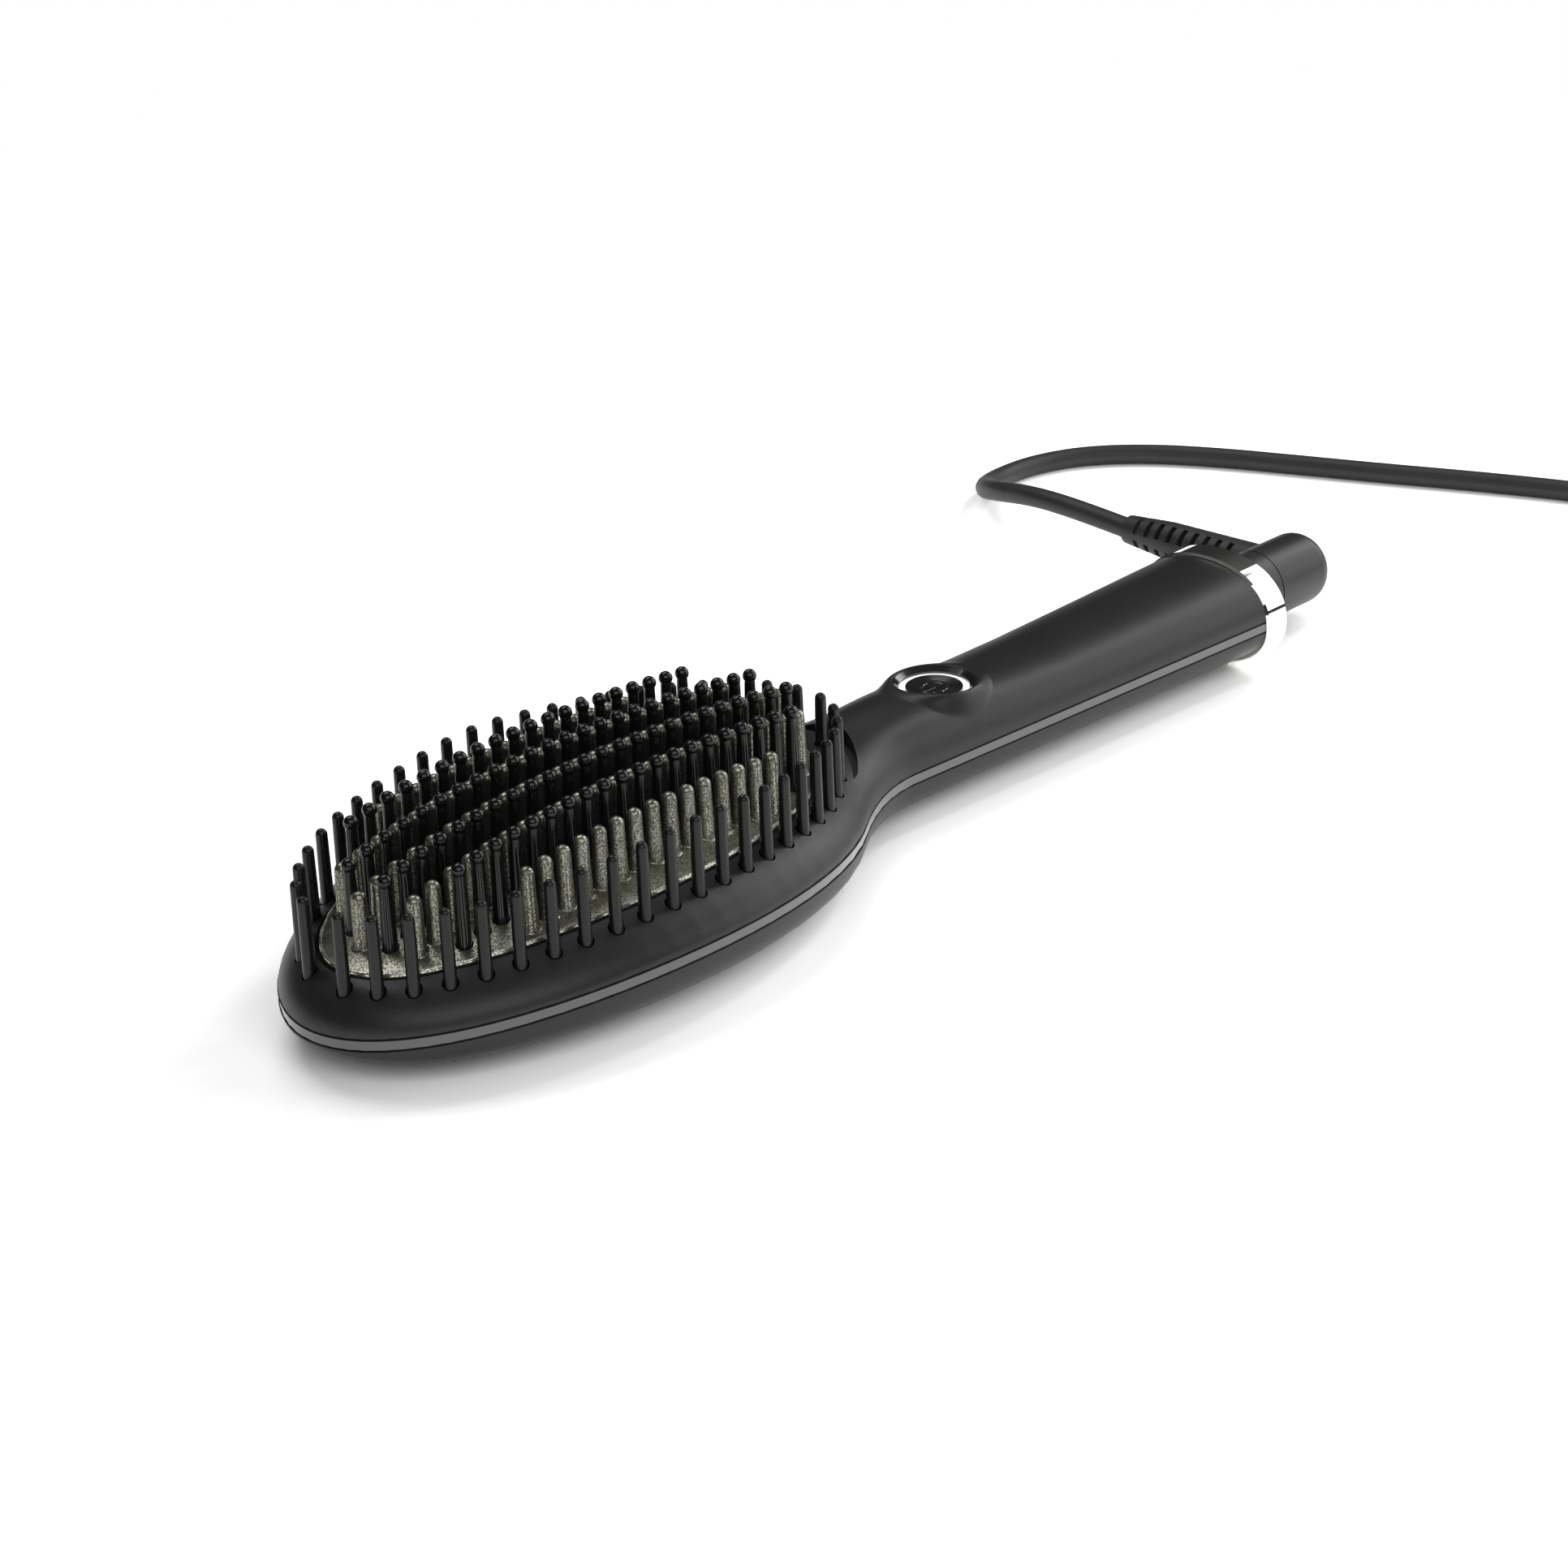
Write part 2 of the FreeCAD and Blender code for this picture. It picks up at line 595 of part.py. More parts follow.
def make_guard_frame():
    """Ring under the deck that carries the guard pins."""
    ring = oval(GUARD_LONG + CARRIER_HALF_WIDTH, GUARD_SHORT + CARRIER_HALF_WIDTH + CARRIER_BULGE,
                CARRIER_BOTTOM, CARRIER_TOP, GUARD_X)
    cuts = [oval(GUARD_LONG - CARRIER_HALF_WIDTH, GUARD_SHORT - CARRIER_HALF_WIDTH,
                 CARRIER_BOTTOM - 1, CARRIER_TOP + 1, GUARD_X)]
    cuts += [cylinder(POST_RADIUS + 0.15, 8, x, y, 6) for x, y in CASE_SCREWS[:2]]
    cuts += [cylinder(PEG_RADIUS + SEAM, PEG_LENGTH + 1, x, y, CARRIER_TOP - PEG_LENGTH - SEAM)
             for x, y in guard_places()]
    return ring.cut(cuts)


def make_guard_pins():
    """Guard pins round the heater, each standing on the carrier with a peg in it."""
    half = math.sqrt(0.5) * GUARD_TIP_RADIUS
    pins = []
    for x, y in guard_places():
        tip = curve(GUARD_TIPS, x)
        profile = [(0.0, CARRIER_TOP - PEG_LENGTH), (PEG_RADIUS, CARRIER_TOP - PEG_LENGTH),
                   (PEG_RADIUS, CARRIER_TOP), (GUARD_RADIUS, CARRIER_TOP),
                   (GUARD_RADIUS, top_height(x, y)), (GUARD_TIP_RADIUS, tip - GUARD_TIP_RADIUS),
                   (0.0, tip)]
        pins.append(spun(x, y, profile, (half, tip - GUARD_TIP_RADIUS + half)))
    return pins


def make_heater_frame():
    """Heat-proof frame that carries the strips and the pin carrier."""
    frame = oval(FRAME_LONG, FRAME_SHORT, FRAME_BOTTOM, CARRIER_BOTTOM - SEAM)
    frame = frame.fuse(oval(FRAME_CORE_LONG, FRAME_CORE_SHORT, FRAME_BOTTOM, FRAME_TOP))
    cuts = [cylinder(POST_RADIUS + 0.15, 8, x, y, 6) for x, y in CASE_SCREWS[:2]]
    cuts += [cylinder(1.3, 8, x, 0, 6) for x in (-FRAME_SCREW_X, FRAME_SCREW_X)]
    return frame.cut(cuts)


def make_heat_shield():
    """Mica sheet under the frame."""
    top = FRAME_BOTTOM - SEAM
    sheet = oval(SHIELD_LONG, SHIELD_SHORT, top - SHIELD_THICK, top)
    return sheet.cut([cylinder(2.5, 4, x, 0, 6) for x in (-FRAME_SCREW_X, FRAME_SCREW_X)])


def make_frame_screws():
    """Two screws from the frame up into the casting."""
    return [cylinder(2.2, 1.5, x, 0, FRAME_BOTTOM - 1.5 - SEAM).fuse(
        cylinder(1.2, 6.8, x, 0, FRAME_BOTTOM - SEAM)) for x in (-FRAME_SCREW_X, FRAME_SCREW_X)]


def heater_strips(z0, z1, trim):
    """Two long blocks under the casting's pads."""
    return [block(-HEATER_HALF_LENGTH + trim, HEATER_HALF_LENGTH - trim, y - HEATER_HALF_WIDTH + trim,
                  y + HEATER_HALF_WIDTH - trim, z0, z1) for y in (-HEATER_Y, HEATER_Y)]


# ---------------------------------------------------------------- button pod
def make_bezel():
    """Gloss cup of the button pod: rim, wall and a floor with a hole for the stem."""
    cup = cylinder(BEZEL_RADIUS, POD_TOP - BEZEL_BOTTOM, BUTTON_X, 0, BEZEL_BOTTOM)
    cup = cup.cut(cylinder(GUIDE_RADIUS + SEAM, 8, BUTTON_X, 0, POD_FLOOR))
    holes = [cylinder(STEM_RADIUS + 0.3, 8, BUTTON_X, 0, 14)]
    holes += [cylinder(LEG_RADIUS + 0.4, 8, BUTTON_X + s * LEG_OFFSET, 0, 14) for s in (-1, 1)]
    cup = cup.cut(holes)
    rim = Part.makeCone(GUIDE_RADIUS, BEZEL_RADIUS - 0.2, POD_TOP - RIM_START,
                        V(BUTTON_X, 0, RIM_START))
    return cup.cut(rim)


def make_light_guide():
    """Clear ring round the button, with two legs down to the lamps."""
    ring = cylinder(GUIDE_RADIUS, GUIDE_TOP - POD_FLOOR - SEAM, BUTTON_X, 0, POD_FLOOR + SEAM)
    ring = ring.cut(cylinder(BUTTON_RADIUS + 0.3, 8, BUTTON_X, 0, 17))
    legs = [cylinder(LEG_RADIUS, POD_FLOOR + 0.4 - LEG_BOTTOM, BUTTON_X + s * LEG_OFFSET, 0, LEG_BOTTOM)
            for s in (-1, 1)]
    return ring.fuse(legs)


def make_button():
    """Dished cap on a stem whose foot keeps it in the pod."""
    cap = cylinder(BUTTON_RADIUS, BUTTON_TOP - CAP_BOTTOM, BUTTON_X, 0, CAP_BOTTOM)
    cap = cap.cut(Part.makeSphere(DISH_RADIUS, V(BUTTON_X, 0, BUTTON_TOP + DISH_RADIUS - DISH_DEPTH)))
    stem = cylinder(STEM_RADIUS, CAP_BOTTOM + 0.4 - STEM_BOTTOM, BUTTON_X, 0, STEM_BOTTOM)
    radius, thick = STEM_FOOT
    foot = cylinder(radius, thick, BUTTON_X, 0, STEM_BOTTOM)
    return cap.fuse([stem, foot])


def make_spring():
    """Return spring between the pod's floor and the cap."""
    bottom = POD_FLOOR + SEAM + SPRING_WIRE
    height = CAP_BOTTOM - SEAM - SPRING_WIRE - bottom
    helix = Part.makeHelix(height / 2.5, height, SPRING_RADIUS)
    circle = Part.Wire([Part.Circle(V(SPRING_RADIUS, 0, 0), ACROSS, SPRING_WIRE).toShape()])
    spring = Part.Wire(helix).makePipeShell([circle], True, True)
    spring.translate(V(BUTTON_X, 0, bottom))
    return spring


def make_tact_switch():
    """Switch on the board under the button's stem."""
    body = block(BUTTON_X - 3, BUTTON_X + 3, -3, 3, BOARD_TOP, SWITCH_TOP)
    return body.fuse(cylinder(1.6, 0.6, BUTTON_X, 0, SWITCH_TOP))


# ---------------------------------------------------------------- electronics in the handle
def make_board():
    """Control board."""
    board = block(BOARD_START, BOARD_END, -BOARD_HALF_WIDTH, BOARD_HALF_WIDTH, BOARD_BOTTOM, BOARD_TOP)
    return board.cut([cylinder(1.3, 4, x, y, 10) for x, y in BOARD_SCREWS])


def make_board_screws():
    """Two screws that hold the board."""
    return [cylinder(1.9, 1.2, x, y, BOARD_TOP).fuse(cylinder(0.8, 5.4, x, y, BOARD_TOP - 5.4))
            for x, y in BOARD_SCREWS]


def leads(x0, x1, y, z):
    """Two insulated wires side by side."""
    return [cylinder(LEAD_RADIUS, x1 - x0, x0, s * y, z, ALONG) for s in (-1, 1)]


# ---------------------------------------------------------------- handle end and swivel
def ring_section(x, shrink):
    """Closed section of the metal ring."""
    half = RING_HALF_WIDTH - shrink
    rise = RING_TOP - RING_MIDDLE - shrink
    drop = RING_MIDDLE - shrink
    steps = 48
    points = []
    for k in range(steps):
        angle = 2 * math.pi * k / steps
        c, s = math.cos(angle), math.sin(angle)
        reach = (abs(c) ** HANDLE_CROWN + abs(s) ** HANDLE_CROWN) ** (-1 / HANDLE_CROWN)
        points.append(V(x, half * c * reach, RING_MIDDLE + (rise if s > 0 else drop) * s * reach))
    line = Part.BSplineCurve()
    line.interpolate(Points=points, PeriodicFlag=True,
                     Parameters=[k / steps for k in range(steps + 1)])
    return Part.Wire([line.toShape()])


def make_ring():
    """Metal ring that closes the handle, bevelled at both edges."""
    bevel = 0.5
    x0, x1 = HANDLE_END, HANDLE_END + RING_LENGTH
    ring = Part.makeLoft([ring_section(x0, bevel), ring_section(x0 + bevel, 0.0),
                          ring_section(x1 - bevel, 0.0), ring_section(x1, bevel)], True, True)
    return ring.cut([cylinder(COLLAR_RADIUS + SEAM, 20, x0 - 5, 0, SWIVEL_Z, ALONG),
                     cylinder(FLANGE_RADIUS + SEAM, 7.6, x0 - 5, 0, SWIVEL_Z, ALONG)])


def make_collar():
    """Fixed collar held in the ring, with the spigot that the swivel turns on."""
    step = HANDLE_END + FLANGE_THICK
    collar = cylinder(FLANGE_RADIUS, FLANGE_THICK - SEAM, HANDLE_END + SEAM, 0, SWIVEL_Z, ALONG)
    collar = collar.fuse([cylinder(COLLAR_RADIUS, COLLAR_END - step, step, 0, SWIVEL_Z, ALONG),
                          cylinder(SPIGOT_RADIUS, SPIGOT_END - COLLAR_END, COLLAR_END, 0, SWIVEL_Z,
                                   ALONG)])
    return collar.cut(cylinder(SPIGOT_BORE, 40, HANDLE_END - 5, 0, SWIVEL_Z, ALONG))


def make_retainer():
    """Disc on the spigot's end that keeps the swivel on, with its plug."""
    disc = cylinder(RETAINER_RADIUS, RETAINER_THICK, SPIGOT_END + SEAM, 0, SWIVEL_Z, ALONG)
    return disc.fuse(cylinder(SPIGOT_BORE - 0.1, 3.6, SPIGOT_END - 3.5, 0, SWIVEL_Z, ALONG))


def make_contacts():
    """Two sprung contacts that run on the slip ring."""
    return [cylinder(CONTACT_RADIUS, CONTACT_LENGTH, CONTACT_START, 0, SWIVEL_Z + z, ALONG)
            for z in (1.4, 4.2)]


def barrel_outside():
    """Outside of the swivel barrel with its rounded end."""
    edge = BARREL_END - BARREL_ROUNDING
    flat = COLLAR_RADIUS - BARREL_ROUNDING
    half = BARREL_ROUNDING * math.sqrt(0.5)
    points = [V(BARREL_START, 0, 0), V(BARREL_START, COLLAR_RADIUS, 0), V(edge, COLLAR_RADIUS, 0),
              V(BARREL_END, flat, 0), V(BARREL_END, 0, 0)]
    arc = Part.Arc(points[2], V(edge + half, flat + half, 0), points[3])
    edges = [Part.LineSegment(points[0], points[1]).toShape(),
             Part.LineSegment(points[1], points[2]).toShape(), arc.toShape(),
             Part.LineSegment(points[3], points[4]).toShape(),
             Part.LineSegment(points[4], points[0]).toShape()]
    solid = Part.Face(Part.Wire(edges)).revolve(V(0, 0, 0), ALONG, 360)
    solid.translate(V(0, 0, SWIVEL_Z))
    return solid


def make_barrel():
    """Swivel barrel: bearing bore, cavity for the contacts and the cord's outlet."""
    bore = SPIGOT_RADIUS + RUNNING_FIT
    return barrel_outside().cut([
        cylinder(bore, 20, BARREL_START - 5, 0, SWIVEL_Z, ALONG).common(
            block(200, CAVITY_START + 1, -20, 20, -10, 40)),
        cylinder(CAVITY_RADIUS, CAVITY_END - CAVITY_START, CAVITY_START, 0, SWIVEL_Z, ALONG),
        cylinder(OUTLET_RADIUS, 12, OUTLET_X, 4, SWIVEL_Z, ACROSS)])


def make_relief():
    """Tapered strain relief with slots on its four diagonals."""
    start = V(OUTLET_X, 0, SWIVEL_Z)
    boot = turned_along(RELIEF_PROFILE, start, ACROSS).cut(barrel_outside())
    boot = boot.fuse(cylinder(OUTLET_RADIUS - 0.1, 3.0, OUTLET_X, 7.1, SWIVEL_Z, ACROSS))
    slots = []
    for k in range(RELIEF_SLOTS):
        y = SLOT_START + SLOT_PITCH * k
        for quarter in range(4):
            slot = block(2.9, 7.0, y, y + SLOT_WIDTH, -2.1, 2.1)
            slot.rotate(V(0, 0, 0), ACROSS, 45 + 90 * quarter)
            slot.translate(start)
            slots.append(slot)
    return boot.cut(slots)


# ---------------------------------------------------------------- cord, coil and plug
def route_tube(points, name):
    """Round tube along straight runs joined by tangent arcs; prints what it measures."""
    vectors = [V(*p) for p in points]
    runs = [b - a for a, b in zip(vectors[:-1], vectors[1:])]
    edges = []
    radii = []
    start = vectors[0]
    for k in range(1, len(vectors) - 1):
        before, after = V(runs[k - 1]), V(runs[k])
        shorter = min(before.Length, after.Length)
        turn = before.getAngle(after)
        radii.append(0.45 * shorter / math.tan(turn / 2))
        before.normalize()
        after.normalize()
        corner = vectors[k]
        enter = corner - before * (0.45 * shorter)
        leave = corner + after * (0.45 * shorter)
        inward = after - before
        inward.normalize()
        middle = corner + inward * (radii[-1] / math.cos(turn / 2) - radii[-1])
        edges.append(Part.LineSegment(start, enter).toShape())
        edges.append(Part.Arc(enter, middle, leave).toShape())
        start = leave
    edges.append(Part.LineSegment(start, vectors[-1]).toShape())
    path = Part.Wire(edges)
    circle = Part.Wire([Part.Circle(vectors[0], runs[0], CORD_RADIUS).toShape()])
    tube = path.makePipeShell([circle], True, False)
    ideal = math.pi * CORD_RADIUS ** 2 * path.Length
    print(name, "length %.1f" % path.Length, "volume ratio %.4f" % (tube.Volume / ideal),
          "radii", " ".join("%.0f" % r for r in radii))
    return tube


def tie_box(grow, x0, x1, z0, z1):
    """Box across the coil's bundle at the tie."""
    box = block(x0, x1, -TIE_HALF_WIDTH - grow, TIE_HALF_WIDTH + grow, z0, z1)
    box.rotate(V(0, 0, 0), UP, TIE_ANGLE)
    box.translate(V(COIL_X, COIL_Y, 0))
    return box


def coil_limits():
    """Inner radius, outer radius and height of the wound coil."""
    half = COIL_PITCH * COIL_TURNS / 2
    return (COIL_MEAN_RADIUS - half - CORD_RADIUS, COIL_MEAN_RADIUS + half + CORD_RADIUS,
            2 * CORD_DIAMETER + TIE_THICK)


def make_coil():
    """Outer shape of the wound length, with a groove for the tie."""
    inner, outer, height = coil_limits()
    coil = cylinder(outer, height, COIL_X, COIL_Y, 0).cut(cylinder(inner, 30, COIL_X, COIL_Y, -5))
    groove = tie_box(0.1, inner - 3, outer + 3, -1, height + 1).cut(
        tie_box(0.1, inner + TIE_THICK, outer - TIE_THICK, TIE_THICK, height - TIE_THICK))
    return coil.cut(groove)


def make_tie():
    """Strap round the bundle."""
    inner, outer, height = coil_limits()
    band = tie_box(0.0, inner - 0.4, outer + 0.4, 0.0, height + 0.3)
    return band.cut(tie_box(1.0, inner + TIE_THICK + 0.05, outer - TIE_THICK - 0.05,
                            TIE_THICK + 0.05, height - TIE_THICK - 0.05))


def plug_place(shape):
    """Turn and move a shape from the plug's own frame to where the tail ends."""
    shape.rotate(V(0, 0, 0), UP, PLUG_DIRECTION)
    shape.translate(V(*TAIL_ROUTE[-1]))
    return shape


def make_plug_body():
    """Flat two-pin plug with a tapered boot."""
    boot = Part.makeCone(3.4, 5.2, PLUG_BOOT, V(0, 0, 0), ALONG)
    w, t = PLUG_HALF_WIDTH, PLUG_HALF_THICK
    outline = [(PLUG_BOOT - 2, -6.5), (PLUG_BOOT + 12, -w + 2.0), (PLUG_BOOT + 20, -w),
               (PLUG_BOOT + PLUG_BODY, -w), (PLUG_BOOT + PLUG_BODY, w), (PLUG_BOOT + 20, w),
               (PLUG_BOOT + 12, w - 2.0), (PLUG_BOOT - 2, 6.5)]
    corners = [V(x, y, -t) for x, y in outline]
    slab = Part.Face(Part.makePolygon(corners + corners[:1])).extrude(V(0, 0, 2 * t))
    slab = slab.makeChamfer(2.0, [e for e in slab.Edges if abs(e.BoundBox.ZLength) < 1e-6
                                  and e.BoundBox.XMax < PLUG_BOOT + PLUG_BODY - 1])
    return plug_place(slab.fuse(boot))


def make_plug_pins():
    """Two round pins."""
    face = PLUG_BOOT + PLUG_BODY
    tip = 0.8
    pins = []
    for side in (-1, 1):
        y = side * PLUG_PIN_SPACING / 2
        pin = cylinder(PLUG_PIN_RADIUS, PLUG_PIN_LENGTH - tip, face, y, 0, ALONG)
        end = Part.makeCone(PLUG_PIN_RADIUS, PLUG_PIN_RADIUS - tip, tip,
                            V(face + PLUG_PIN_LENGTH - tip, y, 0), ALONG)
        pins.append(plug_place(pin.fuse(end)))
    return pins


# ---------------------------------------------------------------- all pieces
def pieces():
    """Every node: its name and its solid or solids."""
    yield "upper_shell", make_upper_shell()
    yield "lower_shell", make_lower_shell()
    yield "trim_band", make_trim_band()
    yield "case_screws", make_case_screws()
    yield "heater_plate", make_heater_plate()
    yield "plate_gasket", make_gasket()
    for number, (y, count) in enumerate(BALL_ROWS, 1):
        yield "ball_pin_strip_%d" % number, make_ball_strip(y, count)
    yield "guard_pin_frame", make_guard_frame()
    yield "guard_pins", make_guard_pins()
    yield "heater_frame", make_heater_frame()
    yield "heat_shield", make_heat_shield()
    yield "frame_screws", make_frame_screws()
    yield "ceramic_heaters", heater_strips(HEATER_BOTTOM, HEATER_TOP, 0.0)
    yield "heater_cushions", heater_strips(FRAME_TOP + SEAM, HEATER_BOTTOM - SEAM, 0.2)
    yield "thermistor", block(-25, -19, -1.5, 1.5, 13.6, 15.95)
    yield "thermal_fuse", cylinder(1.9, 11.0, 12.0, 0, 14.05, ALONG)
    yield "button_bezel", make_bezel()
    yield "light_guide", make_light_guide()
    yield "power_button", make_button()
    yield "button_spring", make_spring()
    yield "tact_switch", make_tact_switch()
    yield "main_board", make_board()
    yield "board_screws", make_board_screws()
    yield "ring_lamps", [block(BUTTON_X + s * LEG_OFFSET - 1, BUTTON_X + s * LEG_OFFSET + 1, -1, 1,
                               BOARD_TOP, LEG_BOTTOM - 0.1) for s in (-1, 1)]
    yield "capacitor", cylinder(3.6, 14.0, 120.0, 0, BOARD_TOP + 3.6, ALONG)
    yield "power_supply_coil", block(138, 147, -5, 5, BOARD_TOP, 18.5)
    yield "triac", block(110, 114.5, -6, -2.5, BOARD_TOP, 17.5)
    yield "terminal_block", block(150, 157, -5, 5, BOARD_TOP, 17.5)
    yield "heater_leads", leads(*HEATER_LEADS)
    yield "mains_leads", leads(*MAINS_LEADS)
    yield "end_ring", make_ring()
    yield "end_collar", make_collar()
    yield "swivel_retainer", make_retainer()
    yield "sprung_contacts", make_contacts()
    yield "swivel_barrel", make_barrel()
    yield "slip_ring", cylinder(SLIP_RING_RADIUS, SLIP_RING_THICK, SLIP_RING_START, 0, SWIVEL_Z, ALONG)
    yield "strain_relief", make_relief()
    yield "power_cord", route_tube(CORD_ROUTE, "power_cord")
    yield "cord_coil", make_coil()
    yield "cord_tie", make_tie()
    yield "cord_tail", route_tube(TAIL_ROUTE, "cord_tail")
    yield "plug_body", make_plug_body()
    yield "plug_pins", make_plug_pins()


os.makedirs("parts", exist_ok=True)
for name, made in pieces():
    shape = Part.makeCompound(made) if isinstance(made, list) else made
    shape.translate(V(FIELD_X, 0, 0))
    box = shape.optimalBoundingBox(False)
    print("%-18s solids %3d  valid %s  volume %9.1f  x %7.1f %7.1f  y %6.1f %6.1f  z %5.1f %5.1f" % (
        name, len(shape.Solids), shape.isValid(), shape.Volume,
        box.XMin, box.XMax, box.YMin, box.YMax, box.ZMin, box.ZMax))
    shape.exportStep("parts/%s.step" % name)
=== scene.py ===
"""Heated straightening brush with a swivel cord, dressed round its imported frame.

Sizes are in millimetres from the middle of the bristle field: x runs to the cord end,
y across, z up from the floor. `to_frame` turns them into the frame's metres.
"""
import logging
import math
from dataclasses import dataclass
from enum import Enum
from typing import Any, Mapping, Optional, Sequence, Union

import bmesh
import bpy
import numpy as np
from mathutils import Matrix


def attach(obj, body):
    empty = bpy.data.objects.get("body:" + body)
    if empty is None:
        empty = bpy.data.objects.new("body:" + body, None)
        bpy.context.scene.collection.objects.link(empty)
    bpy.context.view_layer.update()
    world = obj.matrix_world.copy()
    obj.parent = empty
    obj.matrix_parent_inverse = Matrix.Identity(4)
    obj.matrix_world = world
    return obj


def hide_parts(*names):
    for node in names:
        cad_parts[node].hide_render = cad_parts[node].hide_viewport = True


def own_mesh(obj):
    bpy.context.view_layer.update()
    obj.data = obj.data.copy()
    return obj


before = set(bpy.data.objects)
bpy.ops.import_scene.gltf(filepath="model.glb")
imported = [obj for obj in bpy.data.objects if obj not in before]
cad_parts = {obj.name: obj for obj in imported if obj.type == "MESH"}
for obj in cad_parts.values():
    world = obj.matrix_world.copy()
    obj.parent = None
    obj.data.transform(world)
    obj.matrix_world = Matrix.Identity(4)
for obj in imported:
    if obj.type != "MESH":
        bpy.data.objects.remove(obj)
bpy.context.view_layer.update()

LOG = logging.getLogger("brush")
MM = 0.001                    # metres in a millimetre
FIELD_X = -79.5               # where the middle of the bristle field lies in the frame
SKIN_JOIN = 0.001             # points of a skin that lie closer are one, in millimetres
POLE_JOIN = 0.002             # the same for the points of a new surface
Colour = tuple[float, float, float]
Point = tuple[float, float, float]


def to_frame(points: np.ndarray) -> np.ndarray:
    """Millimetres from the middle of the bristle field to metres in the frame."""
    return (np.asarray(points, float) + (FIELD_X, 0.0, 0.0)) * MM


# ---------------------------------------------------------------- shader maths
class Wire:
    """One output of a material's node tree; Python's operators on it add Math nodes."""

    def __init__(self, recipe: "Recipe", socket: bpy.types.NodeSocket) -> None:
        """Keeps the output and the tree that it belongs to."""
        self.recipe = recipe
        self.socket = socket

    def _math(self, operation: str, *values: Union["Wire", float]) -> "Wire":
        """Adds one Math node."""
        return self.recipe.add("ShaderNodeMath", {"operation": operation},
                               dict(enumerate(values)))

    def __add__(self, other: Union["Wire", float]) -> "Wire":
        """self + other"""
        return self._math("ADD", self, other)

    def __sub__(self, other: Union["Wire", float]) -> "Wire":
        """self - other"""
        return self._math("SUBTRACT", self, other)

    def __rsub__(self, other: float) -> "Wire":
        """other - self"""
        return self._math("SUBTRACT", other, self)

    def __mul__(self, other: Union["Wire", float]) -> "Wire":
        """self * other"""
        return self._math("MULTIPLY", self, other)

    __radd__ = __add__
    __rmul__ = __mul__

    def smooth(self, low: float, high: float) -> "Wire":
        """0 below low, 1 above high and a smooth step between."""
        return self.recipe.add("ShaderNodeMapRange", {"interpolation_type": "SMOOTHSTEP"},
                               {0: self, 1: low, 2: high, 3: 0.0, 4: 1.0})

    def between(self, low: float, high: float) -> "Wire":
        """0 becomes low and 1 becomes high."""
        return self * (high - low) + low


class Recipe:
    """The node tree of one material or of the world."""

    def __init__(self, tree: bpy.types.NodeTree) -> None:
        """Empties the tree.

        Args:
            tree: a material's or the world's node tree.
        """
        self.tree = tree
        tree.nodes.clear()

    def add(self, kind: str, settings: Optional[Mapping[str, Any]] = None,
            sockets: Optional[Mapping[Union[int, str], Any]] = None,
            out: Union[int, str] = 0) -> Optional[Wire]:
        """Adds one node.

        Args:
            kind: the node's type.
            settings: its properties, such as a Math node's operation.
            sockets: values or wires for its inputs, by name or number.
            out: the output to return.

        Returns:
            That output, or None for a node that has none.
        """
        node = self.tree.nodes.new(kind)
        for name, value in (settings or {}).items():
            setattr(node, name, value)
        for name, value in (sockets or {}).items():
            if isinstance(value, Wire):
                self.tree.links.new(value.socket, node.inputs[name])
            else:
                socket = node.inputs[name]
                wide = socket.type == "RGBA" and len(value) == 3
                socket.default_value = (*value, 1.0) if wide else value
        return Wire(self, node.outputs[out]) if node.outputs else None

    def noise(self, size: float, detail: float = 2.0, roughness: float = 0.5,
              stretch: Sequence[float] = (1.0, 1.0, 1.0)) -> Wire:
        """Soft random pattern about 0.5, on Object coordinates in metres.

        Args:
            size: width of its patches in millimetres.
            detail: octaves of finer patches.
            roughness: strength of each finer octave.
            stretch: factor along each axis.

        Returns:
            The pattern.
        """
        coords = self.add("ShaderNodeTexCoord", out="Object")
        place = self.add("ShaderNodeMapping", {}, {"Vector": coords, "Scale": stretch})
        return self.add("ShaderNodeTexNoise", {}, {
            "Vector": place, "Scale": 1.0 / (size * MM), "Detail": detail,
            "Roughness": roughness})

    def mix(self, factor: Union[Wire, float], low: Any, high: Any) -> Wire:
        """Blends two colours."""
        return self.add("ShaderNodeMix", {"data_type": "RGBA"}, {0: factor, 6: low, 7: high},
                        out=2)

    def bump(self, height: Wire, depth: float) -> Wire:
        """Turns a height pattern into a normal; 1.0 stands for a depth in millimetres."""
        return self.add("ShaderNodeBump", {}, {"Height": height, "Distance": depth * MM,
                                               "Strength": 1.0})

    def surface(self, shader: Wire, kind: str = "Material") -> None:
        """Makes a shader the surface of a Material or of the World."""
        self.add(f"ShaderNodeOutput{kind}", {}, {"Surface": shader})


def new_recipe(name: str) -> tuple[bpy.types.Material, Recipe]:
    """Starts a material.

    Args:
        name: its name.

    Returns:
        The material and its empty tree.
    """
    material = bpy.data.materials.new(name)
    material.use_nodes = True
    return material, Recipe(material.node_tree)


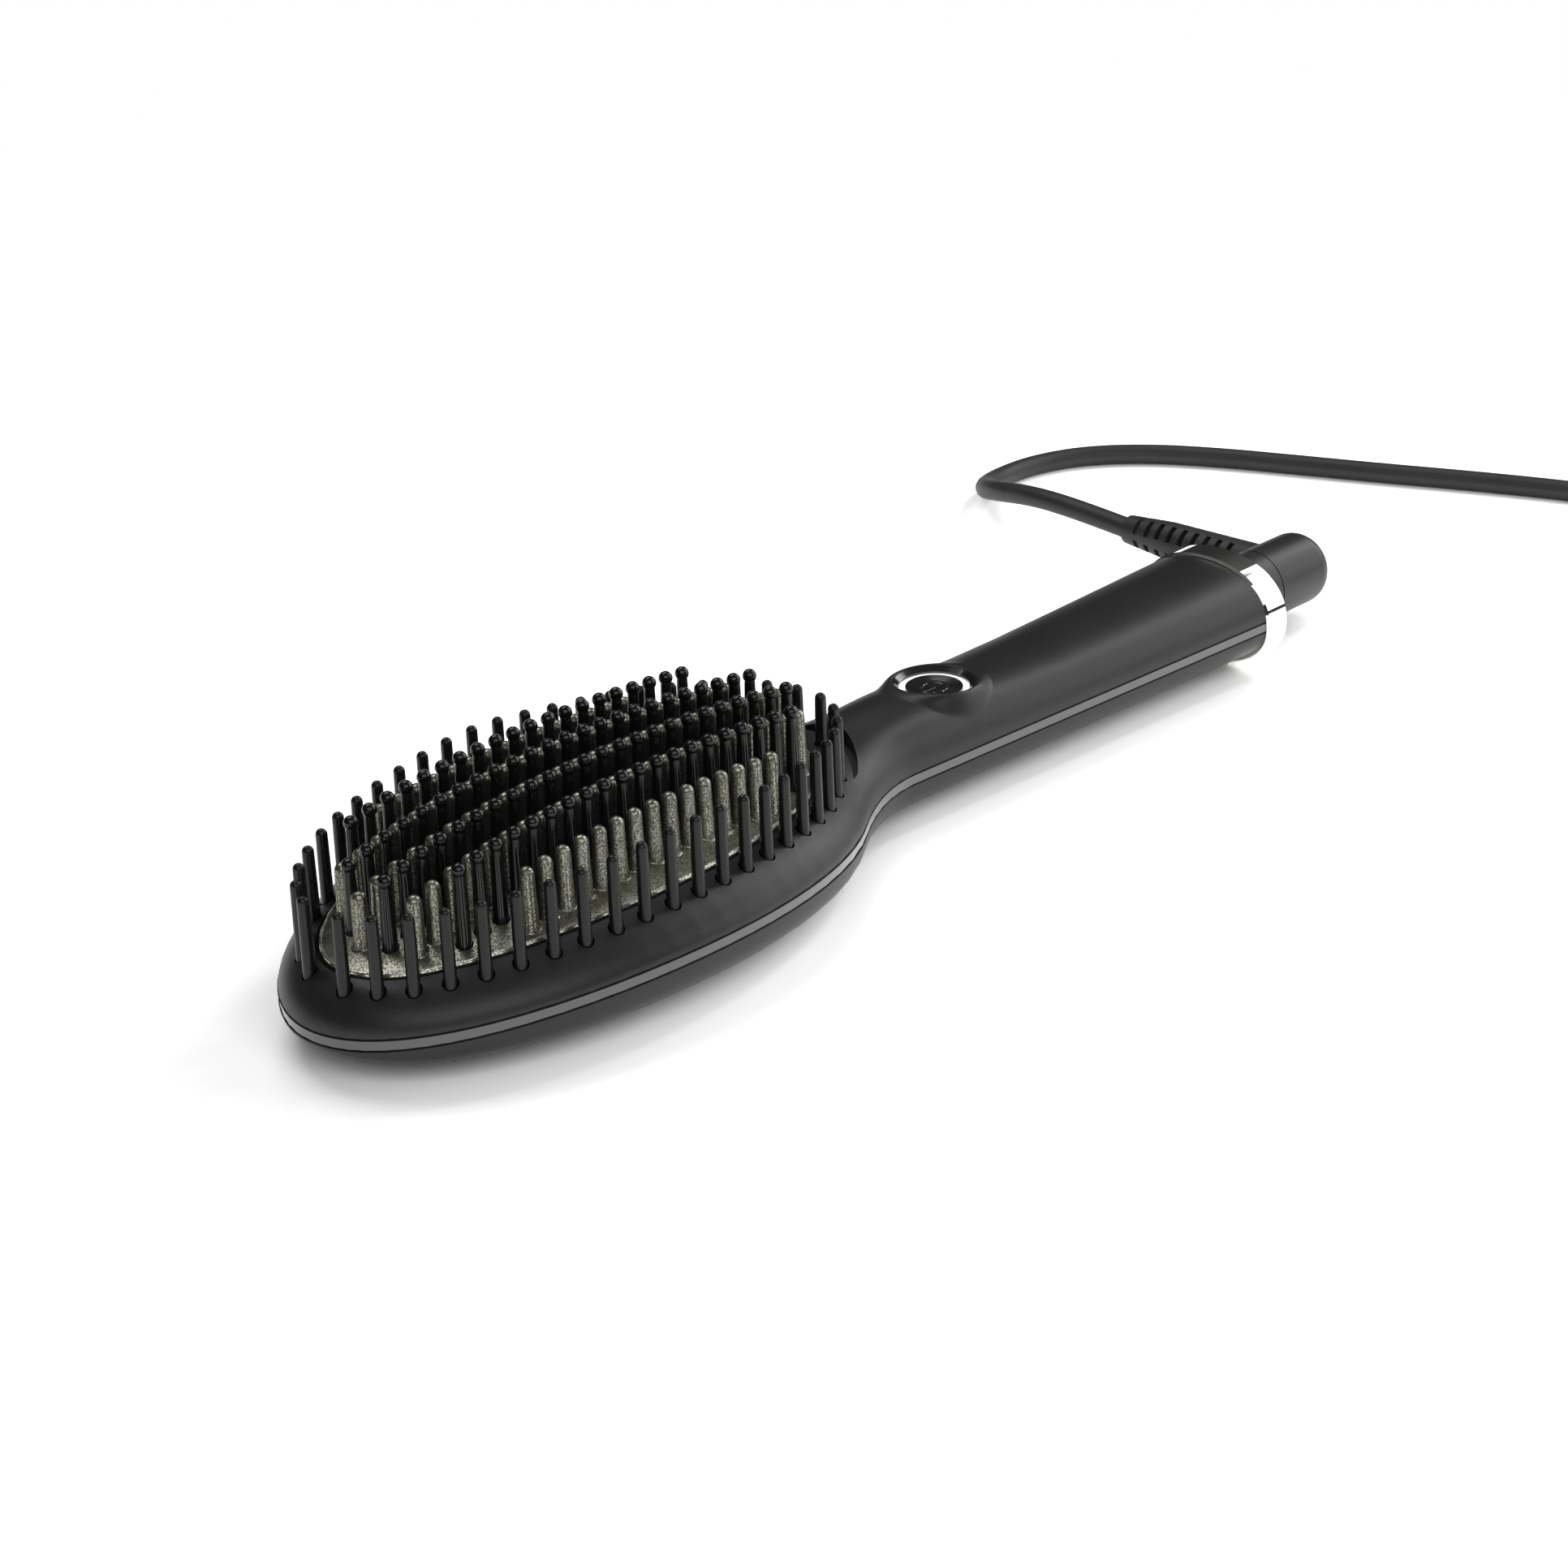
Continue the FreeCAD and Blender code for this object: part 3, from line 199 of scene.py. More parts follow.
# ---------------------------------------------------------------- finishes
@dataclass(frozen=True)
class Plastic:
    """Moulded or sprayed plastic or rubber with a fine grain.

    Attributes:
        name: the material's name.
        colour: main colour.
        dark: colour of the slight darker patches.
        roughness: mean roughness.
        grain: width of the grain in millimetres.
        relief: height of the grain in millimetres.
        patch: width of the patches in millimetres.
        coat: strength of a clear coat.
        coat_roughness: its roughness.
        specular: strength of the plastic's own reflection; 0.5 is plain plastic.
        edges: values of the patch pattern between which the colour changes.
        share: share of the patches in the colour; the grain has the rest.
        spread: change of the roughness over the patches and over the grain.
    """
    name: str
    colour: Colour
    dark: Colour
    roughness: float
    grain: float = 0.3
    relief: float = 0.006
    patch: float = 18.0
    coat: float = 0.0
    coat_roughness: float = 0.06
    specular: float = 0.5
    edges: tuple[float, float] = (0.35, 0.65)
    share: float = 0.6
    spread: tuple[float, float] = (0.06, 0.08)

    def material(self) -> bpy.types.Material:
        """Builds the material.

        Returns:
            The material.
        """
        material, recipe = new_recipe(self.name)
        patches = recipe.noise(self.patch, detail=3.0)
        grain = recipe.noise(self.grain, roughness=0.6)
        tone = patches.smooth(*self.edges) * self.share + grain * (1.0 - self.share)
        wide, fine = self.spread
        recipe.surface(recipe.add("ShaderNodeBsdfPrincipled", {}, {
            "Base Color": recipe.mix(tone, self.dark, self.colour),
            "Roughness": patches * wide + grain * fine + (self.roughness - (wide + fine) / 2.0),
            "Specular IOR Level": self.specular,
            "Coat Weight": self.coat, "Coat Roughness": self.coat_roughness,
            "Normal": recipe.bump(grain, self.relief)}))
        return material


@dataclass(frozen=True)
class Metal:
    """Polished, turned or plated metal.

    Attributes:
        name: the material's name.
        colour: colour of its mirror.
        roughness: mean roughness.
        scratch: depth of the finest scratches in millimetres.
        width: their width in millimetres.
        flow: stretch of the scratches' pattern along each axis.
        cloud: width of the dull clouds in millimetres.
        dull: brightness of a cloud against the bright metal.
        spread: change of the roughness over the clouds and over the scratches.
    """
    name: str
    colour: Colour
    roughness: float
    scratch: float = 0.0006
    width: float = 0.25
    flow: tuple[float, float, float] = (0.05, 1.0, 1.0)
    cloud: float = 9.0
    dull: float = 0.9
    spread: tuple[float, float] = (0.03, 0.02)

    def material(self) -> bpy.types.Material:
        """Builds the material.

        Returns:
            The material.
        """
        material, recipe = new_recipe(self.name)
        scratch = recipe.noise(self.width, roughness=0.6, stretch=self.flow)
        cloud = recipe.noise(self.cloud)
        wide, fine = self.spread
        recipe.surface(recipe.add("ShaderNodeBsdfPrincipled", {}, {
            "Base Color": recipe.mix(cloud, tuple(self.dull * c for c in self.colour),
                                     self.colour),
            "Metallic": 1.0,
            "Roughness": cloud * wide + scratch * fine + (self.roughness - fine),
            "Normal": recipe.bump(scratch, self.scratch)}))
        return material


@dataclass(frozen=True)
class CeramicCoat:
    """Speckled metallic ceramic coat of the heater casting.

    Attributes:
        name: the material's name.
        light: colour of the metallic ground.
        warm: its warmer patches.
        dark: colour of the specks.
        speck: width of the specks in millimetres.
        roughness: mean roughness.
        fleck: width of the finer flecks against the specks.
        cloud: width of the warmer patches in millimetres.
        edges: values of the patterns of specks, flecks and patches between which each one
            begins.
        share: share of the specks in the dark colour; the flecks have the rest.
        metal: how metallic the ground is, and how much less a speck.
        spread: change of the roughness over the specks and over the patches.
        relief: height of the specks in millimetres.
    """
    name: str
    light: Colour
    warm: Colour
    dark: Colour
    speck: float = 0.42
    roughness: float = 0.34
    fleck: float = 0.45
    cloud: float = 5.0
    edges: tuple[tuple[float, float], ...] = ((0.47, 0.56), (0.5, 0.62), (0.4, 0.62))
    share: float = 0.75
    metal: tuple[float, float] = (0.95, 0.35)
    spread: tuple[float, float] = (0.16, 0.12)
    relief: float = 0.02

    def material(self) -> bpy.types.Material:
        """Builds the material.

        Returns:
            The material.
        """
        material, recipe = new_recipe(self.name)
        speck = recipe.noise(self.speck, roughness=0.65)
        fleck = recipe.noise(self.speck * self.fleck, detail=1.0)
        cloud = recipe.noise(self.cloud)
        specks, flecks, patches = (pattern.smooth(*edges) for pattern, edges
                                   in zip((speck, fleck, cloud), self.edges))
        dark = specks * self.share + flecks * (1.0 - self.share)
        ground = recipe.mix(patches, self.warm, self.light)
        fine, wide = self.spread
        recipe.surface(recipe.add("ShaderNodeBsdfPrincipled", {}, {
            "Base Color": recipe.mix(dark, ground, self.dark),
            "Metallic": self.metal[0] - dark * self.metal[1],
            "Roughness": self.roughness + dark * fine + (cloud - 0.5) * wide,
            "Normal": recipe.bump(speck, self.relief)}))
        return material


@dataclass(frozen=True)
class Glow:
    """Lit diffuser: a white ring or lamp.

    Attributes:
        name: the material's name.
        colour: colour of the light.
        strength: its brightness; 1 is white.
        unlit: colours of the diffuser itself, in its clouds and between them.
        cloud: width of the clouds in millimetres.
        dim: brightness of the light in a cloud.
        roughness: roughness in a cloud and between them.
    """
    name: str
    colour: Colour
    strength: float
    unlit: tuple[Colour, Colour] = ((0.75, 0.76, 0.78), (0.86, 0.87, 0.88))
    cloud: float = 3.0
    dim: float = 0.94
    roughness: tuple[float, float] = (0.2, 0.3)

    def material(self) -> bpy.types.Material:
        """Builds the material.

        Returns:
            The material.
        """
        material, recipe = new_recipe(self.name)
        cloud = recipe.noise(self.cloud, detail=1.0)
        recipe.surface(recipe.add("ShaderNodeBsdfPrincipled", {}, {
            "Base Color": recipe.mix(cloud, *self.unlit),
            "Roughness": cloud.between(*self.roughness),
            "Emission Color": recipe.mix(cloud, tuple(self.dim * c for c in self.colour),
                                         self.colour),
            "Emission Strength": self.strength}))
        return material


class Finish(Enum):
    """Every finish of the brush, each built once."""
    SOFT_SHELL = Plastic("soft_shell", (0.014, 0.014, 0.0145), (0.01, 0.01, 0.0105), 0.42,
                         grain=0.5, relief=0.02)
    GLOSS_BAND = Plastic("gloss_band", (0.035, 0.035, 0.036), (0.025, 0.025, 0.026), 0.13,
                         grain=0.5, relief=0.001, coat=0.8, specular=0.9)
    SCREW_STEEL = Metal("screw_steel", (0.33, 0.33, 0.34), 0.3)
    CERAMIC_COAT = CeramicCoat("ceramic_coat", (0.44, 0.44, 0.37), (0.34, 0.335, 0.27),
                               (0.05, 0.05, 0.042), speck=0.32, roughness=0.27)
    BARE_EDGE = CeramicCoat("ceramic_coat", (0.8, 0.79, 0.7), (0.7, 0.69, 0.6),
                            (0.3, 0.3, 0.26), roughness=0.22)
    # real silicone on the gasket and cushions; on the seam beads and the swivel's gap ring it is
    # painted shade
    SILICONE = Plastic("silicone", (0.006, 0.006, 0.006), (0.004, 0.004, 0.004), 0.6,
                       specular=0.12)
    GLOSS_NYLON = Plastic("gloss_nylon", (0.008, 0.008, 0.009), (0.005, 0.005, 0.006), 0.12,
                          grain=0.5, relief=0.001, specular=0.45)
    SATIN_NYLON = Plastic("satin_nylon", (0.01, 0.01, 0.011), (0.007, 0.007, 0.008), 0.28,
                          grain=0.4, relief=0.002, specular=0.35)
    GREY_RESIN = Plastic("grey_resin", (0.16, 0.16, 0.15), (0.12, 0.12, 0.11), 0.55)
    MICA = Plastic("mica", (0.42, 0.36, 0.26), (0.3, 0.25, 0.17), 0.4, grain=1.2)
    HEATER_CERAMIC = Plastic("heater_ceramic", (0.8, 0.79, 0.75), (0.7, 0.69, 0.65), 0.6)
    GLOSS_TRIM = Plastic("gloss_trim", (0.016, 0.016, 0.017), (0.012, 0.012, 0.013), 0.16,
                         grain=0.6, relief=0.001, coat=0.4)
    CLEAR_GUIDE = Glow("clear_guide", (1.0, 1.0, 1.0), 0.95)
    BOARD_GREEN = Plastic("board_green", (0.02, 0.16, 0.07), (0.012, 0.1, 0.045), 0.4)
    LAMP_WHITE = Glow("lamp_white", (1.0, 0.98, 0.94), 0.6)
    WINDING_COPPER = Metal("winding_copper", (0.86, 0.42, 0.24), 0.3)
    WIRE_SKIN = Plastic("wire_skin", (0.5, 0.03, 0.02), (0.35, 0.02, 0.015), 0.45)
    MIRROR_METAL = Metal("mirror_metal", (0.9, 0.89, 0.86), 0.05, scratch=0.0001)
    SATIN_BLACK = Plastic("satin_black", (0.03, 0.03, 0.031), (0.022, 0.022, 0.023), 0.4,
                          grain=0.3, relief=0.005)
    GLOSS_BUTTON = Plastic("gloss_button", (0.014, 0.014, 0.015), (0.01, 0.01, 0.011), 0.2,
                           grain=0.6, relief=0.001, coat=0.3)
    CORD_RUBBER = Plastic("cord_rubber", (0.033, 0.033, 0.034), (0.026, 0.026, 0.027), 0.52,
                          grain=0.35, relief=0.006)
    TIE_STRAP = Plastic("tie_strap", (0.025, 0.025, 0.026), (0.015, 0.015, 0.016), 0.7,
                        grain=0.8, relief=0.05)
    PIN_METAL = Metal("pin_metal", (0.82, 0.74, 0.55), 0.18)

    @property
    def made(self) -> bpy.types.Material:
        """The material, built the first time it is asked for.

        Returns:
            The material.
        """
        found = bpy.data.materials.get(f"made_{self.name.lower()}")
        if found is None:
            found = self.value.material()
            found.name = f"made_{self.name.lower()}"
        return found


# ---------------------------------------------------------------- pieces
def linked(name: str, data: bpy.types.ID) -> bpy.types.Object:
    """Object of some data, linked to the scene.

    Args:
        name: its name.
        data: its mesh, curve, lamp or camera.

    Returns:
        The object.
    """
    obj = bpy.data.objects.new(name, data)
    bpy.context.scene.collection.objects.link(obj)
    return obj


def coat(obj: bpy.types.Object, finish: Finish) -> None:
    """Gives every material slot of an object one finish.

    Args:
        obj: the object.
        finish: the finish.
    """
    if not obj.data.materials:
        obj.data.materials.append(finish.made)
    for slot in obj.material_slots:
        slot.material = finish.made


def dress(finishes: Mapping[str, Finish]) -> None:
    """Gives CAD nodes that stay in view their finish.

    Args:
        finishes: finish of each node.
    """
    for name, finish in finishes.items():
        coat(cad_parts[name], finish)
        LOG.info("%s keeps its solid, finish %s", name, finish.value.name)


def skin(name: str, finish: Finish, body: str = "root",
         crease: float = 32.0) -> bpy.types.Object:
    """Stands in for a CAD node: the same surface, its triangles joined and shaded smooth.

    Args:
        name: the node.
        finish: its finish.
        body: the body that it rides on.
        crease: angle in degrees above which an edge stays sharp.

    Returns:
        The new piece.
    """
    mesh = bpy.data.meshes.new(f"{name}_skin")
    shape = bmesh.new()
    shape.from_mesh(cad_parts[name].data)
    bmesh.ops.remove_doubles(shape, verts=shape.verts, dist=SKIN_JOIN * MM)
    shape.to_mesh(mesh)
    shape.free()
    custom = mesh.attributes.get("custom_normal")
    if custom is not None:
        mesh.attributes.remove(custom)
    mesh.shade_smooth()
    mesh.set_sharp_from_angle(angle=math.radians(crease))
    return keep(linked(mesh.name, mesh), finish, body, (name,))


def skins(finishes: Mapping[str, Finish], body: str = "root") -> list[bpy.types.Object]:
    """Gives several CAD nodes of one body their smooth skins.

    Args:
        finishes: finish of each node.
        body: the body that they ride on.

    Returns:
        The new pieces.
    """
    return [skin(name, finish, body) for name, finish in finishes.items()]


def keep(obj: bpy.types.Object, finish: Finish, body: str = "root",
         stands_for: Sequence[str] = ()) -> bpy.types.Object:
    """Gives a new piece its finish, sets it on its body and hides the CAD nodes that it replaces.

    Args:
        obj: the piece.
        finish: its finish.
        body: the body that it rides on.
        stands_for: the CAD nodes that it replaces.

    Returns:
        The piece.
    """
    coat(obj, finish)
    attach(obj, body)
    if stands_for:
        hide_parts(*stands_for)
    LOG.info("%s rides on %s, finish %s", obj.name, body, finish.value.name)
    return obj


# ---------------------------------------------------------------- shape of the body
@dataclass(frozen=True)
class BodyShape:
    """Outer surface of the casing, by the laws that its solids follow.

    Attributes:
        tip: distance from the middle of the bristles to the head's tip.
        neck: the same half length of the ellipse on the neck side.
        half: half width of the head.
        neck_span: stations between which the head's ellipse runs into the neck.
        neck_half: half width of the neck.
        handle_end: station of the handle's end.
        handle_half: half width there.
        parting_mid: height of the parting line at the middle of the head.
        parting_tip: its height at the tip.
        parting_handle: its height along the handle.
        neck_rise: station from which it is level.
        band: height of the trim band.
        crowns: powers of the upper section on the head and on the handle.
        blend: station where the power starts to change, and over what length.
        roll: length over which the crest rolls down at the tip.
        crest: (station, height) points of the crest.
    """
    tip: float = 66.4
    neck: float = 67.4
    half: float = 37.7
    neck_span: tuple[float, float] = (52.9, 79.0)
    neck_half: float = 12.8
    handle_end: float = 187.4
    handle_half: float = 17.0
    parting_mid: float = 15.0
    parting_tip: float = 10.0
    parting_handle: float = 12.9
    neck_rise: float = 81.0
    band: float = 2.2
    crowns: tuple[float, float] = (2.0, 2.2)
    blend: tuple[float, float] = (40.0, 35.0)
    roll: float = 8.0
    crest: tuple[tuple[float, float], ...] = (
        (-75.0, 15.2), (-60.6, 18.3), (-48.3, 21.8), (-30.8, 24.8), (0.0, 26.8), (30.8, 26.0),
        (49.0, 23.5), (60.3, 22.7), (70.0, 22.9), (79.0, 23.6), (100.0, 23.6), (118.0, 22.9),
        (150.0, 23.1), (190.0, 23.7))

    def width(self, x: np.ndarray) -> np.ndarray:
        """Half width at a station.

        The head is the ellipse half sqrt(1 - (x / tip)^2), the handle a straight taper, and
        a cubic with the slopes of both joins them.

        Args:
            x: stations in millimetres.

        Returns:
            The half widths.
        """
        x = np.asarray(x, float)
        start, end = self.neck_span
        taper = (self.handle_half - self.neck_half) / (self.handle_end - end)
        length = np.where(x < 0.0, self.tip, self.neck)
        head = self.half * np.sqrt(np.clip(1.0 - (x / length) ** 2, 0.0, 1.0))
        root = math.sqrt(1.0 - (start / self.neck) ** 2)
        fall = -self.half * start / self.neck ** 2 / root
        span = end - start
        joined = cubic((x - start) / span, self.half * root, fall * span, self.neck_half,
                       taper * span)
        handle = self.neck_half + taper * (x - end)
        return np.where(x < start, head, np.where(x > end, handle, joined))

    def parting(self, x: np.ndarray) -> np.ndarray:
        """Height of the parting line.

        z = middle - (middle - tip's height) (x / tip)^2 towards the tip, and middle -
        (middle - handle's height) ease(x / neck_rise) towards the handle.

        Args:
            x: stations in millimetres.

        Returns:
            The heights.
        """
        x = np.asarray(x, float)
        low = self.parting_mid - (self.parting_mid - self.parting_tip) * (x / self.tip) ** 2
        high = self.parting_mid - (self.parting_mid - self.parting_handle) * ease(
            x / self.neck_rise)
        return np.where(x < 0.0, low, high)

    def rise(self, x: np.ndarray) -> np.ndarray:
        """Height of the crest above the parting line.

        It is crest - parting, times sqrt(1 - t^2) where t runs from 0 to 1 over the last
        stretch before the tip.

        Args:
            x: stations in millimetres.

        Returns:
            The heights.
        """
        t = np.clip((self.roll - self.tip - x) / self.roll, 0.0, 1.0)
        return (through(self.crest, x) - self.parting(x)) * np.sqrt(1.0 - t * t)

    def top(self, x: np.ndarray, y: np.ndarray) -> np.ndarray:
        """Height of the upper surface over a place in plan.

        z = parting + rise (1 - |y / width|^p)^(1 / p)

        Args:
            x: stations in millimetres.
            y: distances from the middle plane.

        Returns:
            The heights.
        """
        head, handle = self.crowns
        power = head - (head - handle) * ease((x - self.blend[0]) / self.blend[1])
        ratio = np.clip(np.abs(y) / np.maximum(self.width(x), 1e-6), 0.0, 1.0)
        return self.parting(x) + self.rise(x) * (1.0 - ratio ** power) ** (1.0 / power)


def ease(t: np.ndarray) -> np.ndarray:
    """Smooth step 3 t^2 - 2 t^3 from 0 to 1."""
    t = np.clip(t, 0.0, 1.0)
    return t * t * (3.0 - 2.0 * t)


def cubic(t: np.ndarray, z0: Any, m0: Any, z1: Any, m1: Any) -> np.ndarray:
    """Cubic from z0 to z1 with end slopes m0 and m1 per unit of t."""
    return ((2.0 * t ** 3 - 3.0 * t ** 2 + 1.0) * z0 + (t ** 3 - 2.0 * t ** 2 + t) * m0
            + (3.0 * t ** 2 - 2.0 * t ** 3) * z1 + (t ** 3 - t ** 2) * m1)


def through(points: Sequence[tuple[float, float]], x: np.ndarray) -> np.ndarray:
    """Smooth curve through (station, height) points.

    Each span is a cubic; the slope at a point is that of the spans beside it, each weighted
    by the other's length.

    Args:
        points: the points, in the order of their stations.
        x: where to read the curve.

    Returns:
        The heights.
    """
    at, z = np.array(points, float).T
    span = np.diff(at)
    secant = np.diff(z) / span
    inner = (secant[:-1] * span[1:] + secant[1:] * span[:-1]) / (span[:-1] + span[1:])
    slope = np.concatenate((secant[:1], inner, secant[-1:]))
    k = np.clip(np.searchsorted(at, x, side="left") - 1, 0, len(span) - 1)
    return cubic((x - at[k]) / span[k], z[k], slope[k] * span[k], z[k + 1],
                 slope[k + 1] * span[k])


BODY = BodyShape()


# ---------------------------------------------------------------- meshes from arrays
def around(steps: int) -> np.ndarray:
    """Angles of even steps all round, in radians."""
    return 2.0 * math.pi * np.arange(steps) / steps


def sheet_faces(sheets: int, rows: int, columns: int) -> np.ndarray:
    """Quads of several equal grids of points, each with its last column joined to its first.

    Args:
        sheets: number of grids.
        rows: points along each grid.
        columns: points round each grid.

    Returns:
        Four point numbers for each quad.
    """
    n, i, j = np.meshgrid(np.arange(sheets), np.arange(rows - 1), np.arange(columns),
                          indexing="ij")
    base = n * rows * columns
    after = (j + 1) % columns
    corners = (base + i * columns + j, base + i * columns + after,
               base + (i + 1) * columns + after, base + (i + 1) * columns + j)
    return np.stack(corners, axis=-1).reshape(-1, 4)


def mesh_of(name: str, points: np.ndarray, crease: float = 50.0) -> bpy.types.Object:
    """Object of one or more grids of points.

    Args:
        name: its name.
        points: (sheets, rows, columns, 3) points in millimetres; a row of equal points is a
            pole, and the last column joins the first.
        crease: angle in degrees above which an edge stays sharp.

    Returns:
        The object, with poles merged and faces outward.
    """
    sheets, rows, columns, _ = points.shape
    mesh = bpy.data.meshes.new(name)
    mesh.from_pydata(to_frame(points.reshape(-1, 3)), [],
                     sheet_faces(sheets, rows, columns).tolist())
    shape = bmesh.new()
    shape.from_mesh(mesh)
    bmesh.ops.remove_doubles(shape, verts=shape.verts, dist=POLE_JOIN * MM)
    bmesh.ops.recalc_face_normals(shape, faces=shape.faces)
    shape.to_mesh(mesh)
    shape.free()
    mesh.shade_smooth()
    mesh.set_sharp_from_angle(angle=math.radians(crease))
    return linked(name, mesh)


def turned(centres: np.ndarray, radii: np.ndarray, heights: np.ndarray,
           steps: int) -> np.ndarray:
    """Points of several pieces turned about upright axes.

    (x, y, z) = (cx + r cos a, cy + r sin a, h) for a all round.

    Args:
        centres: (pieces, 2) places of the axes.
        radii: (pieces, rows) or (rows,) radii of the profile.
        heights: (pieces, rows) heights of the profile.
        steps: points round each piece.

    Returns:
        (pieces, rows, steps, 3) points.
    """
    angle = around(steps)
    radii = np.broadcast_to(radii, heights.shape)[..., None]
    x = centres[:, None, None, 0] + radii * np.cos(angle)
    y = centres[:, None, None, 1] + radii * np.sin(angle)
    z = np.broadcast_to(heights[..., None], x.shape)
    return np.stack((x, y, z), axis=-1)


# ---------------------------------------------------------------- camera and studio
def stand(right: np.ndarray, up: np.ndarray, back: np.ndarray, place: np.ndarray) -> Matrix:
    """Turn and place of a camera or lamp.

    Args:
        right: direction of its right side.
        up: direction of its top.
        back: direction opposite to the way it faces.
        place: where it stands, in metres.

    Returns:
        Its matrix.
    """
    return Matrix([*np.column_stack((right, up, back, place)).tolist(), [0.0, 0.0, 0.0, 1.0]])


@dataclass
class Viewpoint:
    """Camera that looks down on the brush along its length.

    Attributes:
        target: the point that it looks at, in millimetres.
        distance: from the target, in millimetres.
        yaw: heading in degrees from +Y towards +X.
        pitch: degrees below the horizon.
        roll: turn about its own axis in degrees.
        lens: focal length in millimetres.
        sensor: width of the sensor in millimetres.
        clip: nearest distance that it sees, in metres.
    """
    target: Point = (45.954, -8.284, 20.8)
    distance: float = 678.13
    yaw: float = 44.515
    pitch: float = 24.576
    roll: float = -2.098
    lens: float = 80.124
    sensor: float = 36.0
    clip: float = 0.02

    def build(self) -> None:
        """Adds the camera and makes it the scene's."""
        yaw, pitch, roll = (math.radians(a) for a in (self.yaw, self.pitch, self.roll))
        ahead = np.array((math.sin(yaw) * math.cos(pitch), math.cos(yaw) * math.cos(pitch),
                          -math.sin(pitch)))
        level = np.array((math.cos(yaw), -math.sin(yaw), 0.0))
        above = np.cross(level, ahead)
        right = math.cos(roll) * level + math.sin(roll) * above
        up = math.cos(roll) * above - math.sin(roll) * level
        eye = to_frame(self.target) - ahead * self.distance * MM
        data = bpy.data.cameras.new("studio_camera")
        data.lens = self.lens
        data.sensor_width = self.sensor
        data.sensor_fit = "HORIZONTAL"
        data.clip_start = self.clip
        camera = linked("studio_camera", data)
        camera.matrix_world = stand(right, up, -ahead, eye)
        bpy.context.scene.camera = camera
        LOG.info("camera at %s", np.round(eye, 4))


@dataclass(frozen=True)
class SoftBox:
    """One area lamp.

    Attributes:
        name: its name.
        azimuth: degrees from +X towards +Y.
        elevation: degrees above the floor.
        distance: from the brush, in metres.
        size: width and height in metres.
        level: radiance of its face.
    """
    name: str
    azimuth: float
    elevation: float
    distance: float
    size: tuple[float, float]
    level: float

    def build(self) -> None:
        """Adds the lamp, facing the brush."""
        azimuth, elevation = math.radians(self.azimuth), math.radians(self.elevation)
        away = np.array((math.cos(azimuth) * math.cos(elevation),
                         math.sin(azimuth) * math.cos(elevation), math.sin(elevation)))
        side = np.array((-math.sin(azimuth), math.cos(azimuth), 0.0))
        up = np.cross(away, side)
        lamp = bpy.data.lights.new(self.name, "AREA")
        lamp.shape = "RECTANGLE"
        lamp.size, lamp.size_y = self.size
        lamp.energy = self.level * math.pi * self.size[0] * self.size[1]
        linked(self.name, lamp).matrix_world = stand(side, up, away, away * self.distance)


